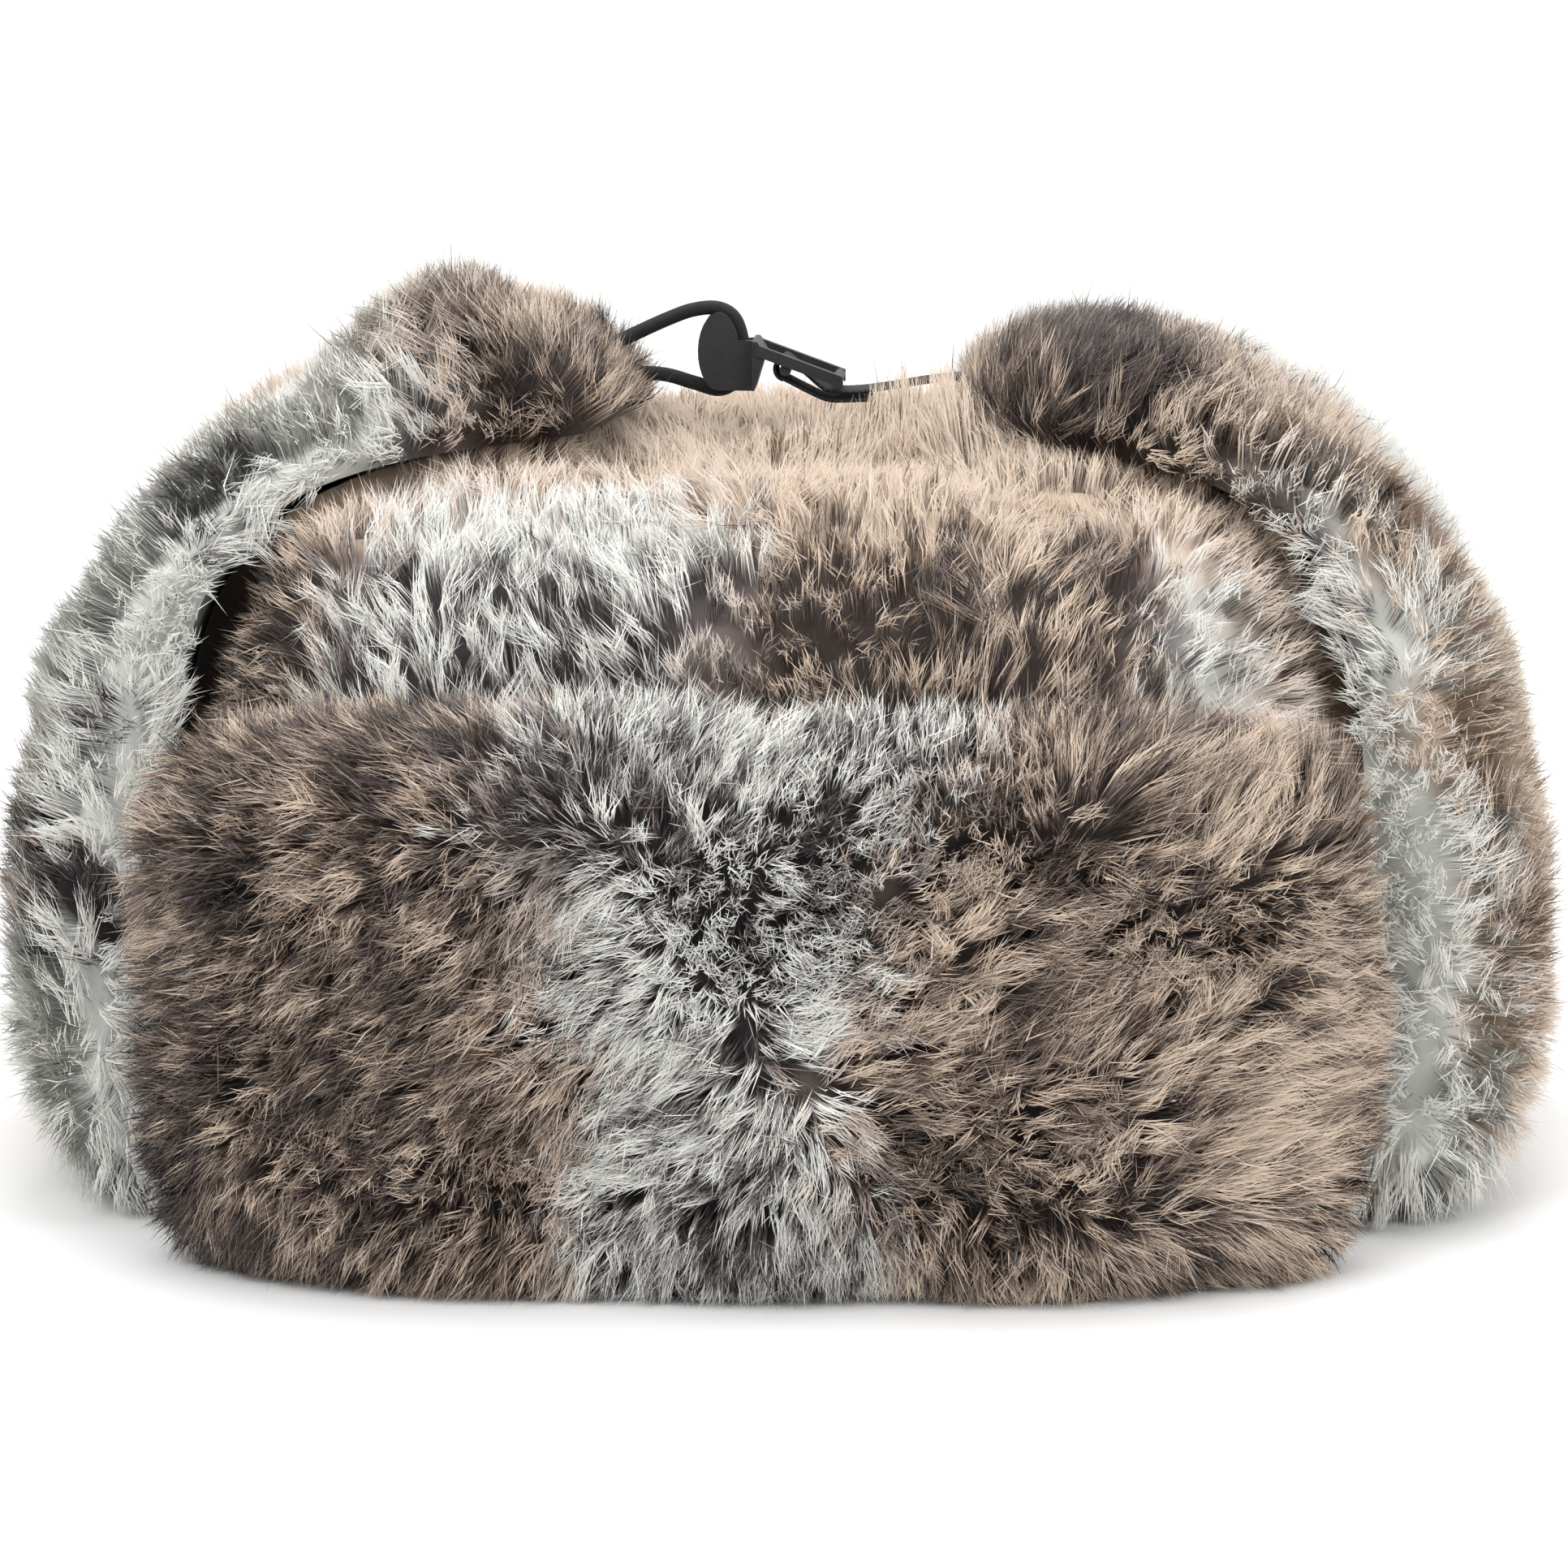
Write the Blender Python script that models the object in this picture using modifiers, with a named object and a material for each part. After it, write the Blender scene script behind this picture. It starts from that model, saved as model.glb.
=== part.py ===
"""Faux fur ushanka, resting on its rim, with both ear flaps turned up and fastened over the crown.

Metres, +Z up, the brow towards -Y and the wearer's left flap, with the elastic loop, at -X.
The crown is a hollow cap whose outer skin is a rounded box: one power curve in plan, another in
profile. Every flap is a padded box wrapped round that skin, so it follows the crown's sizes.
The pile is modelled as shingled locks: each rises from its root to its tip and then drops.
"""

import math

import bmesh
import bpy
from mathutils import Vector

# The hollow for the head, and the wall of cloth and pile round it
HEAD_WIDTH = 0.162
HEAD_LENGTH = 0.196
HEAD_DEPTH = 0.104
SIDE_WALL = 0.020
TOP_WALL = 0.020
CROWN_HALF_WIDTH = HEAD_WIDTH / 2 + SIDE_WALL
CROWN_HALF_LENGTH = HEAD_LENGTH / 2 + SIDE_WALL
CROWN_HEIGHT = HEAD_DEPTH + TOP_WALL
PLAN_POWER = 3.8
SIDE_POWER = 4.4
BROW_POWER = 6.2
BROW_SHARE = 0.60
HOLLOW_PLAN_POWER = 2.9
HOLLOW_PROFILE_POWER = 3.2

# The pile's locks, which lie in rows like shingles
LOCK_LENGTH = 0.024
LOCK_WIDTH = 0.016
LOCK_DEPTH = 0.0035
LOCK_RISE = (0.10, 0.60, 1.00)
LOCK_VALLEY = 0.35
LOCK_CALM = 0.30

# The flaps: how far each stands from the crown, and its own sizes
SEAM_GAP = 0.0008
FOLD_LIFT = 0.0015
BROW_FLAP_HEIGHT = 0.092
NECK_FLAP_HEIGHT = 0.086
CORNER_DROP = 0.11
BAND_FLAP_THICKNESS = 0.0215
BROW_FLAP_SPREAD = math.radians(46.0)
NECK_FLAP_SPREAD = math.radians(49.0)
EAR_FLAP_THICKNESS = 0.0290
EAR_AXIS_HEIGHT = 0.045
LEFT_TIP_REACH = 0.0255
RIGHT_TIP_REACH = 0.0305
EDGE_BLUNTNESS = 0.45
EDGE_POWER = 2.8
EDGE_BULGE = 0.17
EAR_LEAN = 0.011
SIDE_LAYERS = 2

# Thickness of the brow and neck flaps up their height, as shares of BAND_FLAP_THICKNESS
BAND_COLUMNS = ("share", "thick")
BAND_SECTIONS = (
    (0.00, 0.80),
    (0.18, 0.95),
    (0.50, 1.00),
    (0.80, 1.00),
    (1.00, 0.86),
)

# An ear flap from the rim to its tip. front and back are its edges, as shares of the crown's half
# length, and left and right are the two flaps' thicknesses, as shares of EAR_FLAP_THICKNESS.
EAR_COLUMNS = ("share", "front", "back", "left", "right")
EAR_SECTIONS = (
    (0.00, -0.680, 0.600, 0.78, 0.78),
    (0.08, -0.680, 0.605, 0.92, 0.95),
    (0.20, -0.675, 0.610, 0.99, 1.02),
    (0.32, -0.665, 0.610, 1.05, 1.05),
    (0.48, -0.640, 0.600, 0.88, 0.92),
    (0.60, -0.600, 0.580, 0.64, 0.65),
    (0.74, -0.510, 0.540, 0.55, 0.52),
    (0.87, -0.380, 0.480, 1.02, 0.75),
    (0.94, -0.290, 0.420, 0.79, 0.74),
    (1.00, -0.130, 0.330, 0.58, 0.58),
)

# The hook clip: a head that the loop goes round, and a frame that the chin strap goes round.
# Its heights, and those of the strap and the loop, are taken from the crown's top.
CLIP_DEPTH_PLACE = 0.0120
HEAD_PLACE = (-0.0118, CROWN_HEIGHT + 0.01175)
HEAD_HALF_WIDTH = 0.0036
HEAD_HALF_HEIGHT = 0.0068
CORE_HALF_WIDTH = 0.0023
CORE_HALF_HEIGHT = 0.0052
PLATE_THICKNESS = 0.0018
GROOVE_WIDTH = 0.0034
FRAME_WIDTH = 0.0150
RAIL_SIZE = 0.0020
RAIL_START = (-0.0052, CROWN_HEIGHT + 0.0124)
RAIL_END = (0.0100, CROWN_HEIGHT + 0.0068)
WEB_REACH = 0.0084
BAR_RADIUS = 0.0010
BAR_SHARE = 0.34
BAR_DROP = 0.0017

# The webbing chin strap between the clip and the right flap's tip
STRAP_WIDTH = 0.0100
STRAP_THICKNESS = 0.0009
TOUCH_GAP = 0.0004
STRAP_TAIL = ((0.0150, 0.0036), (0.0098, 0.0034), (0.0070, 0.0036), (0.0036, 0.0051))
STRAP_LEAD = (
    (0.0036, 0.008),
    (0.0066, 0.0055),
    (0.0092, 0.0049),
    (0.0130, 0.005),
    (0.0190, 0.0058),
    (0.0250, 0.0068),
)
STRAP_SEAT_HEIGHT = CROWN_HEIGHT + 0.0076

# The elastic loop: its route in the plane of the clip's head, from the left tip and back to it
LOOP_DIAMETER = 0.0025
LOOP_ROUTE = (
    (-0.0280, 0.0134),
    (-0.0212, 0.017),
    (-0.0162, 0.0188),
    (-0.0118, 0.019),
    (-0.0089, 0.0169),
    (-0.0077, 0.0118),
    (-0.0088, 0.0068),
    (-0.0118, 0.0049),
    (-0.0162, 0.006),
    (-0.0212, 0.0074),
    (-0.0280, 0.0078),
)
LOOP_STEPS = 3

# Mesh fineness
CROWN_SEGMENTS = 56
HOLLOW_RINGS = 6
CROWN_ARC = 0.63
PROFILE_SAMPLES = 4000
HALVINGS = 40

# Worked out from the sizes above
LOCK_STEPS = len(LOCK_RISE)

# Colour, roughness and metallic value of each finish
FINISHES = {
    "brown_pile": ((0.215, 0.165, 0.130, 1.0), 0.95, 0.0),
    "silver_pile": ((0.480, 0.460, 0.435, 1.0), 0.95, 0.0),
    "black_elastic": ((0.012, 0.012, 0.013, 1.0), 0.75, 0.0),
    "black_plastic": ((0.010, 0.010, 0.011, 1.0), 0.42, 0.0),
    "black_webbing": ((0.014, 0.014, 0.015, 1.0), 0.85, 0.0),
}


def clear_scene():
    for obj in list(bpy.data.objects):
        bpy.data.objects.remove(obj)


def new_collection(name):
    collection = bpy.data.collections.new(name)
    bpy.context.scene.collection.children.link(collection)
    return collection


def finish(name):
    """The Principled material of that name, made once."""
    found = bpy.data.materials.get(name)
    if found:
        return found
    colour, roughness, metallic = FINISHES[name]
    material = bpy.data.materials.new(name)
    material.use_nodes = True
    shader = material.node_tree.nodes["Principled BSDF"]
    shader.inputs["Base Color"].default_value = colour
    shader.inputs["Roughness"].default_value = roughness
    shader.inputs["Metallic"].default_value = metallic
    return material


def add_part(name, mesh, finish_name, collection):
    obj = bpy.data.objects.new(name, mesh)
    obj.data.materials.clear()
    obj.data.materials.append(finish(finish_name))
    collection.objects.link(obj)
    return obj


def mesh_from(name, shape):
    """A closed bmesh as a mesh, with its faces turned outwards."""
    bmesh.ops.recalc_face_normals(shape, faces=shape.faces)
    if shape.calc_volume(signed=True) < 0:
        bmesh.ops.reverse_faces(shape, faces=shape.faces)
    mesh = bpy.data.meshes.new(name)
    shape.to_mesh(mesh)
    shape.free()
    return mesh


def read_section(columns, rows, column, share):
    """One column of a table of sections at a share of the length, straight between its rows."""
    wanted = columns.index(column)
    for lower, upper in zip(rows, rows[1:]):
        if share <= upper[0]:
            part = (share - lower[0]) / (upper[0] - lower[0])
            return lower[wanted] + part * (upper[wanted] - lower[wanted])
    return rows[-1][wanted]


def plan_reach(turn, half_width, half_length, power):
    """How far a plan outline lies from the middle in a direction, turn measured from +X."""
    across = abs(math.cos(turn)) / half_width
    along = abs(math.sin(turn)) / half_length
    return (across**power + along**power) ** (-1 / power)


def fullness(point, grown):
    """1 where a point is on the crown's skin grown by that much, less inside and more outside.
    The skin is squarer at the brow and the nape than at the sides, where the flaps press it."""
    across = abs(point.x) / (CROWN_HALF_WIDTH + grown)
    along = abs(point.y) / (CROWN_HALF_LENGTH + grown)
    plan = (across**PLAN_POWER + along**PLAN_POWER) ** (1 / PLAN_POWER)
    rise = max(point.z, 0.0) / (CROWN_HEIGHT + grown)
    power = SIDE_POWER + (BROW_POWER - SIDE_POWER) * min(1.0, along / BROW_SHARE) ** 2
    return plan**power + rise**power


def on_skin(start, heading, grown):
    """Where a line from inside the crown leaves its skin grown by that much."""
    near, far = 0.0, CROWN_HALF_LENGTH + CROWN_HEIGHT + grown
    for _ in range(HALVINGS):
        middle = (near + far) / 2
        if fullness(start + heading * middle, grown) < 1:
            near = middle
        else:
            far = middle
    return start + heading * near


def lock_height(row_step, column):
    """The share of a lock's depth that stands at one mesh point of a shingled field of locks."""
    row, step = divmod(row_step, LOCK_STEPS)
    ridge = 1.0 if (row + column) % 2 == 0 else LOCK_VALLEY
    return LOCK_RISE[step] * ridge


def pad_fullness(*shares):
    """Thickness of a pad at shares of its length and width: blunt at its edges, full inside."""
    nearness = sum(abs(2 * share - 1) ** EDGE_POWER for share in shares)
    rounded = max(0.0, 1 - nearness) ** (1 / EDGE_POWER)
    return EDGE_BLUNTNESS + (1 - EDGE_BLUNTNESS) * rounded


def edge_push(share, layer, full_thickness):
    """How far the middle of a padded edge bulges past its corners, signed by the side."""
    side = 2 * share - 1
    return EDGE_BULGE * full_thickness * math.sin(math.pi * layer) * side * abs(side) ** 5


def pad_thickness(full_thickness, fullness, row_step, column):
    """Thickness at one mesh point of a pad, down to the valleys between its locks."""
    return full_thickness * fullness - LOCK_DEPTH * fullness * (1 - lock_height(row_step, column))


def cells_for(length, pitch, steps):
    """Mesh cells along a side, a whole number of locks."""
    return steps * max(1, round(length / pitch))


def padded_box(name, cells, place):
    """A box primitive cut into cells whose points are moved by place(shares, indices)."""
    shape = bmesh.new()
    bmesh.ops.create_cube(shape, size=1.0)
    for axis, count in enumerate(cells):
        along_axis = [
            edge
            for edge in shape.edges
            if abs(edge.verts[0].co[axis] - edge.verts[1].co[axis]) > 0.5
        ]
        bmesh.ops.subdivide_edges(shape, edges=along_axis, cuts=count - 1, use_grid_fill=True)
    for vert in shape.verts:
        shares = [min(1.0, max(0.0, vert.co[axis] + 0.5)) for axis in range(3)]
        indices = [round(share * count) for share, count in zip(shares, cells)]
        vert.co = place(shares, indices)
    return mesh_from(name, shape)


def profile_rings(count, power):
    """(share of the radius, share of the height) at even steps up a power curve's profile."""
    samples = [math.pi / 2 * i / PROFILE_SAMPLES for i in range(PROFILE_SAMPLES + 1)]
    line = [
        (max(math.cos(a), 0.0) ** (2 / power), max(math.sin(a), 0.0) ** (2 / power))
        for a in samples
    ]
    run = [0.0]
    for (r0, h0), (r1, h1) in zip(line, line[1:]):
        run.append(run[-1] + math.hypot(r1 - r0, h1 - h0))
    rings, at = [], 0
    for i in range(count + 1):
        while at < PROFILE_SAMPLES and run[at] < run[-1] * i / count:
            at += 1
        rings.append(line[at])
    rings[-1] = (0.0, 1.0)
    return rings


def crown(collection):
    """The cap: a sphere whose lower half is pushed up inside the upper, as the hollow. Its rings
    run down the outer skin to the floor, across the flat rim, and up the hollow."""
    rings = cells_for((CROWN_HEIGHT + CROWN_HALF_LENGTH) * CROWN_ARC, LOCK_LENGTH, LOCK_STEPS)
    outer = profile_rings(rings, SIDE_POWER)
    hollow = profile_rings(HOLLOW_RINGS, HOLLOW_PROFILE_POWER)
    bands = rings + 1 + HOLLOW_RINGS
    shape = bmesh.new()
    bmesh.ops.create_uvsphere(shape, u_segments=CROWN_SEGMENTS, v_segments=bands, radius=1.0)
    for vert in shape.verts:
        turn = math.atan2(vert.co.y, vert.co.x)
        segment = round(turn / (2 * math.pi) * CROWN_SEGMENTS) % CROWN_SEGMENTS
        ring = round(bands * math.acos(max(-1.0, min(1.0, vert.co.z))) / math.pi)
        if ring <= rings:
            up = rings - ring
            share, rise = outer[up]
            drawn = LOCK_DEPTH * (1 - lock_height(up - 1, segment)) if up else 0.0
            drawn *= min(1.0, share + LOCK_CALM)
            radius = share * plan_reach(turn, CROWN_HALF_WIDTH, CROWN_HALF_LENGTH, PLAN_POWER)
            aim = Vector((radius * math.cos(turn), radius * math.sin(turn), rise * CROWN_HEIGHT))
            vert.co = on_skin(Vector((0.0, 0.0, 0.0)), aim.normalized(), -drawn)
        else:
            share, rise = hollow[ring - rings - 1]
            radius = share * plan_reach(turn, HEAD_WIDTH / 2, HEAD_LENGTH / 2, HOLLOW_PLAN_POWER)
            vert.co = (radius * math.cos(turn), radius * math.sin(turn), rise * HEAD_DEPTH)
    return add_part("crown", mesh_from("crown", shape), "brown_pile", collection)


def band_flap(name, height, spread, facing, finish_name, collection):
    """A flap turned up against the brow or the nape. facing is -1 for the brow, 1 for the nape."""
    arc = 2 * spread * (CROWN_HALF_LENGTH + BAND_FLAP_THICKNESS)
    cells = (
        cells_for(arc, LOCK_WIDTH, 2),
        cells_for(height, LOCK_LENGTH, LOCK_STEPS),
        SIDE_LAYERS,
    )

    def place(shares, indices):
        across, up, layer = shares
        full = BAND_FLAP_THICKNESS * read_section(BAND_COLUMNS, BAND_SECTIONS, "thick", up)
        turn = spread * (2 * across - 1) + edge_push(across, layer, full) / CROWN_HALF_LENGTH
        top = height * (1 - CORNER_DROP * (2 * across - 1) ** 4)
        lift = FOLD_LIFT + (top - FOLD_LIFT) * up
        lift += max(0.0, edge_push(up, layer, full))
        thickness = pad_thickness(full, pad_fullness(up, across), indices[1], indices[0])
        heading = Vector((math.sin(turn), facing * math.cos(turn), 0.0))
        return on_skin(Vector((0.0, 0.0, lift)), heading, SEAM_GAP + layer * thickness)

    return add_part(name, padded_box(name, cells, place), finish_name, collection)


def ear_path(share, tip_reach):
    """(height of the line's start, its angle above level) at a share of the flap's length: up the
    crown's side, then round the axis to the tip."""
    tip_angle = math.atan2(CROWN_HEIGHT - EAR_AXIS_HEIGHT, tip_reach)
    wall = EAR_AXIS_HEIGHT - FOLD_LIFT
    arc = tip_angle * (CROWN_HALF_WIDTH + CROWN_HEIGHT - EAR_AXIS_HEIGHT) / 2
    done = share * (wall + arc)
    if done <= wall:
        return FOLD_LIFT + done, 0.0
    return EAR_AXIS_HEIGHT, tip_angle * (done - wall) / arc


def ear_flap(name, side, tip_reach, finish_name, collection):
    """A flap from the rim up the side and over the crown. side is "left" or "right"."""
    outward = -1 if side == "left" else 1
    length = EAR_AXIS_HEIGHT + math.pi / 4 * (CROWN_HALF_WIDTH + CROWN_HEIGHT - EAR_AXIS_HEIGHT)
    width = CROWN_HALF_LENGTH * (EAR_SECTIONS[0][2] - EAR_SECTIONS[0][1])
    cells = (
        cells_for(length, LOCK_LENGTH, LOCK_STEPS),
        cells_for(width, LOCK_WIDTH, 2),
        SIDE_LAYERS,
    )

    def place(shares, indices):
        run, across, layer = shares
        front = read_section(EAR_COLUMNS, EAR_SECTIONS, "front", run) * CROWN_HALF_LENGTH
        back = read_section(EAR_COLUMNS, EAR_SECTIONS, "back", run) * CROWN_HALF_LENGTH
        lean = EAR_LEAN * layer**2 * (1 - run) * (2 * across - 1)
        full = EAR_FLAP_THICKNESS * read_section(EAR_COLUMNS, EAR_SECTIONS, side, run)
        depth = front + (back - front) * across + lean + edge_push(across, layer, full)
        thickness = pad_thickness(full, pad_fullness(across), indices[0], indices[1])
        start_height, angle = ear_path(run, tip_reach)
        heading = Vector((outward * math.cos(angle), 0.0, math.sin(angle)))
        start = Vector((0.0, depth, start_height))
        return on_skin(start, heading, SEAM_GAP + layer * thickness)

    return add_part(name, padded_box(name, cells, place), finish_name, collection)


def smooth_line(points, steps):
    """Points on a Catmull-Rom curve through the given ones, steps to each span."""
    ends = [2 * points[0] - points[1], *points, 2 * points[-1] - points[-2]]
    line = []
    for p0, p1, p2, p3 in zip(ends, ends[1:], ends[2:], ends[3:]):
        for i in range(steps):
            t = i / steps
            line.append(
                (
                    2 * p1
                    + (p2 - p0) * t
                    + (2 * p0 - 5 * p1 + 4 * p2 - p3) * t**2
                    + (3 * p1 - p0 - 3 * p2 + p3) * t**3
                )
                / 2
            )
    line.append(points[-1])
    return line


def tip_face(outward, tip_reach, height):
    """How far from the middle an ear flap's end face stands at a height over the crown's top."""
    angle = math.atan2(CROWN_HEIGHT - EAR_AXIS_HEIGHT, tip_reach)
    return outward * (height - EAR_AXIS_HEIGHT) / math.tan(angle)


def elastic_loop(collection):
    """The round elastic from the left flap's tip, round the clip's head and back."""
    route = [Vector((x, CLIP_DEPTH_PLACE, CROWN_HEIGHT + rise)) for x, rise in LOOP_ROUTE]
    for end in (0, -1):
        highest = route[end].z + LOOP_DIAMETER / 2
        route[end].x = tip_face(-1, LEFT_TIP_REACH, highest) + LOOP_DIAMETER / 2
    line = smooth_line(route, LOOP_STEPS)
    curve = bpy.data.curves.new("elastic_loop", "CURVE")
    curve.dimensions = "3D"
    curve.bevel_depth = LOOP_DIAMETER / 2
    curve.bevel_resolution = 2
    curve.use_fill_caps = True
    spline = curve.splines.new("POLY")
    spline.points.add(len(line) - 1)
    for point, place in zip(spline.points, line):
        point.co = (*place, 1.0)
    return add_part("elastic_loop", curve, "black_elastic", collection)


def as_mesh_part(obj, collection):
    """A curve object made a welded mesh object in its place, so that a Boolean can take it."""
    bpy.context.view_layer.update()
    graph = bpy.context.evaluated_depsgraph_get()
    mesh = bpy.data.meshes.new_from_object(obj.evaluated_get(graph))
    shape = bmesh.new()
    shape.from_mesh(mesh)
    bmesh.ops.remove_doubles(shape, verts=shape.verts, dist=1e-6)
    bmesh.ops.recalc_face_normals(shape, faces=shape.faces)
    shape.to_mesh(mesh)
    shape.free()
    made = bpy.data.objects.new(obj.name + "_solid", mesh)
    made.matrix_world = obj.matrix_world
    collection.objects.link(made)
    bpy.data.objects.remove(obj)
    return made


def flat_outline(name, outline, thickness, depth_place, collection):
    """A plate in an upright plane facing the brow: an outline of (x, z) points, extruded."""
    curve = bpy.data.curves.new(name, "CURVE")
    curve.dimensions = "2D"
    curve.fill_mode = "BOTH"
    curve.extrude = thickness / 2
    spline = curve.splines.new("POLY")
    spline.use_cyclic_u = True
    spline.points.add(len(outline) - 1)
    for point, (x, z) in zip(spline.points, outline):
        point.co = (x, z, 0.0, 1.0)
    obj = bpy.data.objects.new(name, curve)
    obj.rotation_euler = (math.pi / 2, 0.0, 0.0)
    obj.location = (0.0, depth_place, 0.0)
    collection.objects.link(obj)
    return as_mesh_part(obj, collection)


def ellipse(centre, half_width, half_height, first, last, count):
    """Points round an ellipse from one angle to another, in degrees, both included."""
    turns = [math.radians(first + (last - first) * i / (count - 1)) for i in range(count)]
    return [
        (centre[0] + half_width * math.cos(t), centre[1] + half_height * math.sin(t))
        for t in turns
    ]


def cross_bar(name, place, radius, length, collection):
    """A round bar across the clip's frame, along Y."""
    bpy.ops.mesh.primitive_cylinder_add(
        vertices=12,
        radius=radius,
        depth=length,
        location=(place[0], CLIP_DEPTH_PLACE, place[1]),
        rotation=(math.pi / 2, 0.0, 0.0),
    )
    bar = bpy.context.object
    bar.name = name
    for holder in list(bar.users_collection):
        holder.objects.unlink(bar)
    collection.objects.link(bar)
    return bar


def between(first, second, share):
    return tuple(a + (b - a) * share for a, b in zip(first, second))


def clip_hook(collection, helpers):
    """The moulded clip: two plates and a core for the loop, and a frame for the chin strap."""
    head_x, head_z = HEAD_PLACE
    plate_place = (GROOVE_WIDTH + PLATE_THICKNESS) / 2
    web_end = head_x + WEB_REACH
    web_high = RAIL_START[1] + RAIL_SIZE * 0.7
    web_low = head_z - HEAD_HALF_HEIGHT
    plate = ellipse(HEAD_PLACE, HEAD_HALF_WIDTH, HEAD_HALF_HEIGHT, 16, 272, 20)
    plate += [
        (web_end - 0.0024, web_low),
        (web_end - 0.0003, web_high - RAIL_SIZE),
        (web_end - 0.0020, web_high - 0.0001),
    ]
    pieces = [
        flat_outline(
            f"plate{sign}",
            plate,
            PLATE_THICKNESS,
            CLIP_DEPTH_PLACE + sign * plate_place,
            helpers,
        )
        for sign in (-1, 1)
    ]
    core = ellipse(HEAD_PLACE, CORE_HALF_WIDTH, CORE_HALF_HEIGHT, 0, 337.5, 16)
    core_depth = GROOVE_WIDTH + PLATE_THICKNESS
    pieces.append(flat_outline("core", core, core_depth, CLIP_DEPTH_PLACE, helpers))
    heel = head_x + CORE_HALF_WIDTH + 2 * LOOP_DIAMETER / 2 + 2 * TOUCH_GAP + 0.0004
    web = [
        (heel, web_low + 0.0003),
        (web_end - 0.0020, web_low + 0.0003),
        (web_end, web_high - RAIL_SIZE),
        (web_end - 0.0016, web_high),
        (heel, web_high),
    ]
    web_width = FRAME_WIDTH - RAIL_SIZE / 2
    pieces.append(flat_outline("web", web, web_width, CLIP_DEPTH_PLACE, helpers))
    rise = RAIL_SIZE / 2
    rail = [
        (RAIL_START[0], RAIL_START[1] - rise),
        (RAIL_END[0], RAIL_END[1] - rise),
        (RAIL_END[0], RAIL_END[1] + rise),
        (RAIL_START[0], RAIL_START[1] + rise),
    ]
    rail_place = (FRAME_WIDTH - RAIL_SIZE) / 2
    for sign in (-1, 1):
        depth_place = CLIP_DEPTH_PLACE + sign * rail_place
        pieces.append(flat_outline(f"rail{sign}", rail, RAIL_SIZE, depth_place, helpers))
    inset = FRAME_WIDTH - RAIL_SIZE
    pieces.append(cross_bar("strap_bar", strap_bar_place(), BAR_RADIUS, inset, helpers))
    end_place = (RAIL_END[0] - BAR_RADIUS, RAIL_END[1] + 0.0003)
    pieces.append(cross_bar("end_bar", end_place, BAR_RADIUS, inset, helpers))
    body = pieces[0]
    for piece in pieces[1:]:
        union = body.modifiers.new(piece.name, "BOOLEAN")
        union.operation = "UNION"
        union.object = piece
    bpy.context.view_layer.update()
    graph = bpy.context.evaluated_depsgraph_get()
    mesh = bpy.data.meshes.new_from_object(body.evaluated_get(graph))
    mesh.transform(body.matrix_world)
    for piece in pieces:
        bpy.data.objects.remove(piece)
    clip = add_part("clip_hook", mesh, "black_plastic", collection)
    mesh.shade_smooth()
    mesh.set_sharp_from_angle(angle=math.radians(35))
    return clip


def strap_bar_place():
    """Where the bar that the webbing goes round lies, in the (x, z) plane."""
    x, z = between(RAIL_START, RAIL_END, BAR_SHARE)
    return x, z - BAR_DROP


def over_crown(points):
    """Points given by their rise over the crown's top, in the (x, z) plane."""
    return [(x, CROWN_HEIGHT + rise) for x, rise in points]


def chin_strap(collection):
    """Webbing folded round the clip's bar, its tail below and its lead to the right flap's tip."""
    bar = strap_bar_place()
    bend = BAR_RADIUS + TOUCH_GAP + STRAP_THICKNESS / 2
    turn = ellipse(bar, bend, bend, 270, 80, 9)
    lowest = STRAP_SEAT_HEIGHT - STRAP_THICKNESS
    seat = (tip_face(1, RIGHT_TIP_REACH, lowest) - TOUCH_GAP, STRAP_SEAT_HEIGHT)
    route = [*over_crown(STRAP_TAIL), *turn, *over_crown(STRAP_LEAD), seat]
    shape = bmesh.new()
    near = [
        shape.verts.new((x, CLIP_DEPTH_PLACE - STRAP_WIDTH / 2, z)) for x, z in route
    ]
    line = [shape.edges.new(pair) for pair in zip(near, near[1:])]
    moved = bmesh.ops.extrude_edge_only(shape, edges=line)["geom"]
    far = [item for item in moved if isinstance(item, bmesh.types.BMVert)]
    bmesh.ops.translate(shape, verts=far, vec=(0.0, STRAP_WIDTH, 0.0))
    mesh = bpy.data.meshes.new("chin_strap")
    shape.to_mesh(mesh)
    shape.free()
    strap = add_part("chin_strap", mesh, "black_webbing", collection)
    wall = strap.modifiers.new("webbing", "SOLIDIFY")
    wall.thickness = STRAP_THICKNESS
    wall.offset = 0.0
    return strap


def main():
    clear_scene()
    parts = new_collection("ushanka")
    helpers = new_collection("helpers")
    crown(parts)
    band_flap("brow_flap", BROW_FLAP_HEIGHT, BROW_FLAP_SPREAD, -1, "brown_pile", parts)
    band_flap("neck_flap", NECK_FLAP_HEIGHT, NECK_FLAP_SPREAD, 1, "brown_pile", parts)
    ear_flap("ear_flap_left", "left", LEFT_TIP_REACH, "silver_pile", parts)
    ear_flap("ear_flap_right", "right", RIGHT_TIP_REACH, "silver_pile", parts)
    elastic_loop(parts)
    clip_hook(parts, helpers)
    chin_strap(parts)


main()
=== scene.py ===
"""An ushanka with its ear flaps fastened over the crown, dressed on its fixed frame."""

import math

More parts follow.
